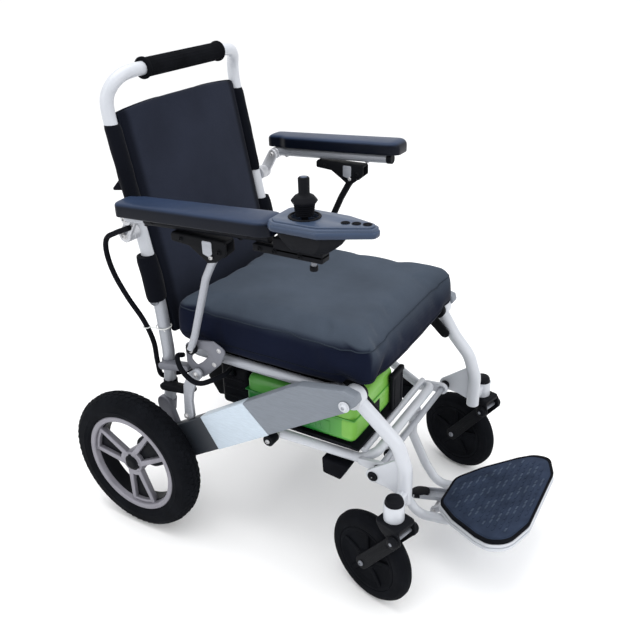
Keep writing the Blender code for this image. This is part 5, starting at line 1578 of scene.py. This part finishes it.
def backrest_sling():
    """Padded panel between the posts; its cloth is painted darker at each side edge, painted shade where the
    panel curves back to the posts.
    """
    lean = Matrix.Translation(at(BACK_HINGE, 0)) @ Matrix.Rotation(-BACK_LEAN, 4, "Y")
    flat_space = lean.inverted()
    block = Piece().box((-0.007, -0.18, -0.129), (0.009, 0.18, 0.313), "sling", 0.0065, 3)
    sling = block.done("backrest_cover", "backrest", "backrest_sling", mapped=lean, ride=False)
    settle(sling, 0.005, 4.0, 0.007, lambda co: abs(co.y) > 0.171)

    def shape(co, normal):
        spot = flat_space @ co
        wide = max(0.0, 1 - (spot.y / 0.181) ** 2)
        tall = min(max((spot.z + 0.13) / 0.446, 0.0), 1.0)
        spot.x += (0.0085 * wide ** 0.55) * min(1.0, tall / 0.25) - 0.003
        spot.x -= 0.004 * max(0.0, 1 - tall / 0.25)
        spot.z += 0.0085 * wide * max(0.0, tall - 0.64) / 0.36
        spot.x += 0.0016 * noise.noise(Vector((spot.y * 9, spot.z * 7, 0.3))) * wide
        return lean @ spot

    refine(sling, shape)
    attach(sling, "backrest")
    edge = [(0.0, -0.176, -0.125), (0.0, 0.176, -0.125), (0.004, 0.176, 0.313), (0.004, -0.176, 0.313)]
    spots = rounded([lean @ Vector(p) for p in edge], 0.01, 8, closed=True)
    welt(sling, divided(spots), 0.0015, "backrest_seam", "backrest")


def sleeve(name, centres, across, along, body=None):
    """Cloth sleeve round a post: a closed skin over oval rows, a little slack."""
    rows = []
    centres = smooth_path(centres, PATH_STEP)
    count = len(centres)
    for index, centre in enumerate(centres):
        end = min(index, count - 1 - index)
        slack = -0.0016 if end == 0 else 0.0
        row = []
        for step in range(32):
            turn = 2 * pi * step / 32
            fold = 0.0009 * noise.noise(Vector((cos(turn) * 2, sin(turn) * 2, centre.z * 40)))
            row.append((centre.x + (across + slack + fold) * cos(turn),
                        centre.y + (along + slack + fold) * sin(turn), centre.z))
        rows.append(row)
    obj = Piece().rings(rows, "sleeve").done(name, body, ride=bool(body), angle=70)
    return obj


def sleeves():
    """The cloth sleeves on both posts, with the cloth flap and the cable ties beside them."""
    for label, side in SIDES:
        top, low = lean_point(0.294), lean_point(0.112)
        y = side * (POST_Y - 0.0015)
        sleeve(f"{label}_upper_sleeve", [at(low, y), at(top, y)], 0.015, 0.0158, "backrest")
        bend = lean_point(0.045)
        centres = [(-0.2625, side * 0.199, 0.514), (-0.2645, side * 0.199, 0.53),
                   (BACK_HINGE[0], side * 0.199, 0.56), at(bend, side * 0.199)]
        low_sleeve = sleeve(f"{label}_lower_sleeve", centres, 0.018, 0.0215)
        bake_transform(low_sleeve)
        tail = flat([(-0.304, 0.764), (-0.3455, 0.7225), (-0.318, 0.7265), (-0.29, 0.727)], 0.003)
        flap = Piece().plate([tail], side * 0.196, side * 0.1985, "sleeve", 0.001)
        flap.done(f"{label}_sleeve_flap", "backrest")
        tie = Piece().tube([(-0.2585 + 0.0152 * cos(a), side * POST_Y + 0.0152 * sin(a), 0.452)
                            for a in [2 * pi * k / 28 for k in range(28)]], 0.0014, "tie", 8, loop=True)
        if side < 0:
            tie.tube([(-0.264, side * 0.2085, 0.452), (-0.278, side * 0.213, 0.454)], 0.0012, "tie", 8)
            tie.tube([(-0.2838 + 0.0064 * cos(a), side * 0.2152 + 0.0064 * sin(a), 0.454)
                      for a in [2 * pi * k / 20 for k in range(20)]], 0.0012, "tie", 8, loop=True)
            tie.tube([(-0.246, side * 0.208, 0.4515), (-0.24, side * 0.212, 0.453)], 0.0011, "tie", 8)
        tie.done(f"{label}_cable_tie", "rear_frame")


seat_cushion()
backrest_sling()
sleeves()


# ---------------------------------------------------------------- floor and light
def build_stage():
    floor = bpy.data.meshes.new("floor")
    floor.from_pydata([(-14, -14, 0), (14, -14, 0), (14, 14, 0), (-14, 14, 0)], [], [(0, 1, 2, 3)])
    ground = bpy.data.objects.new("floor", floor)
    pale = Surface("studio_floor", (0.97, 0.97, 0.97), 0.95, specular=0.1)
    pale.tint(pale.noise(2.0, 2.0), 0.004)
    floor.materials.append(pale.material)
    scene.collection.objects.link(ground)

    world = bpy.data.worlds.new("studio")
    world.use_nodes = True
    world.node_tree.nodes["Background"].inputs["Color"].default_value = (0.985, 0.99, 1.0, 1.0)
    world.node_tree.nodes["Background"].inputs["Strength"].default_value = 1.06
    scene.world = world
    target = Vector((0.0, 0.0, 0.45))
    for name, place, size, power in (("overhead", (-0.3, -0.2, 2.9), 2.6, 42),
                                     ("window", (2.2, -0.6, 1.7), 1.8, 16),
                                     ("near_fill", (-1.1, -2.4, 1.4), 1.8, 9)):
        light = bpy.data.lights.new(name, "AREA")
        light.shape = "DISK"
        light.size = size
        light.energy = power
        lamp = bpy.data.objects.new(name, light)
        lamp.location = place
        lamp.rotation_mode = "QUATERNION"
        lamp.rotation_quaternion = (target - Vector(place)).to_track_quat("-Z", "Y")
        scene.collection.objects.link(lamp)


build_stage()
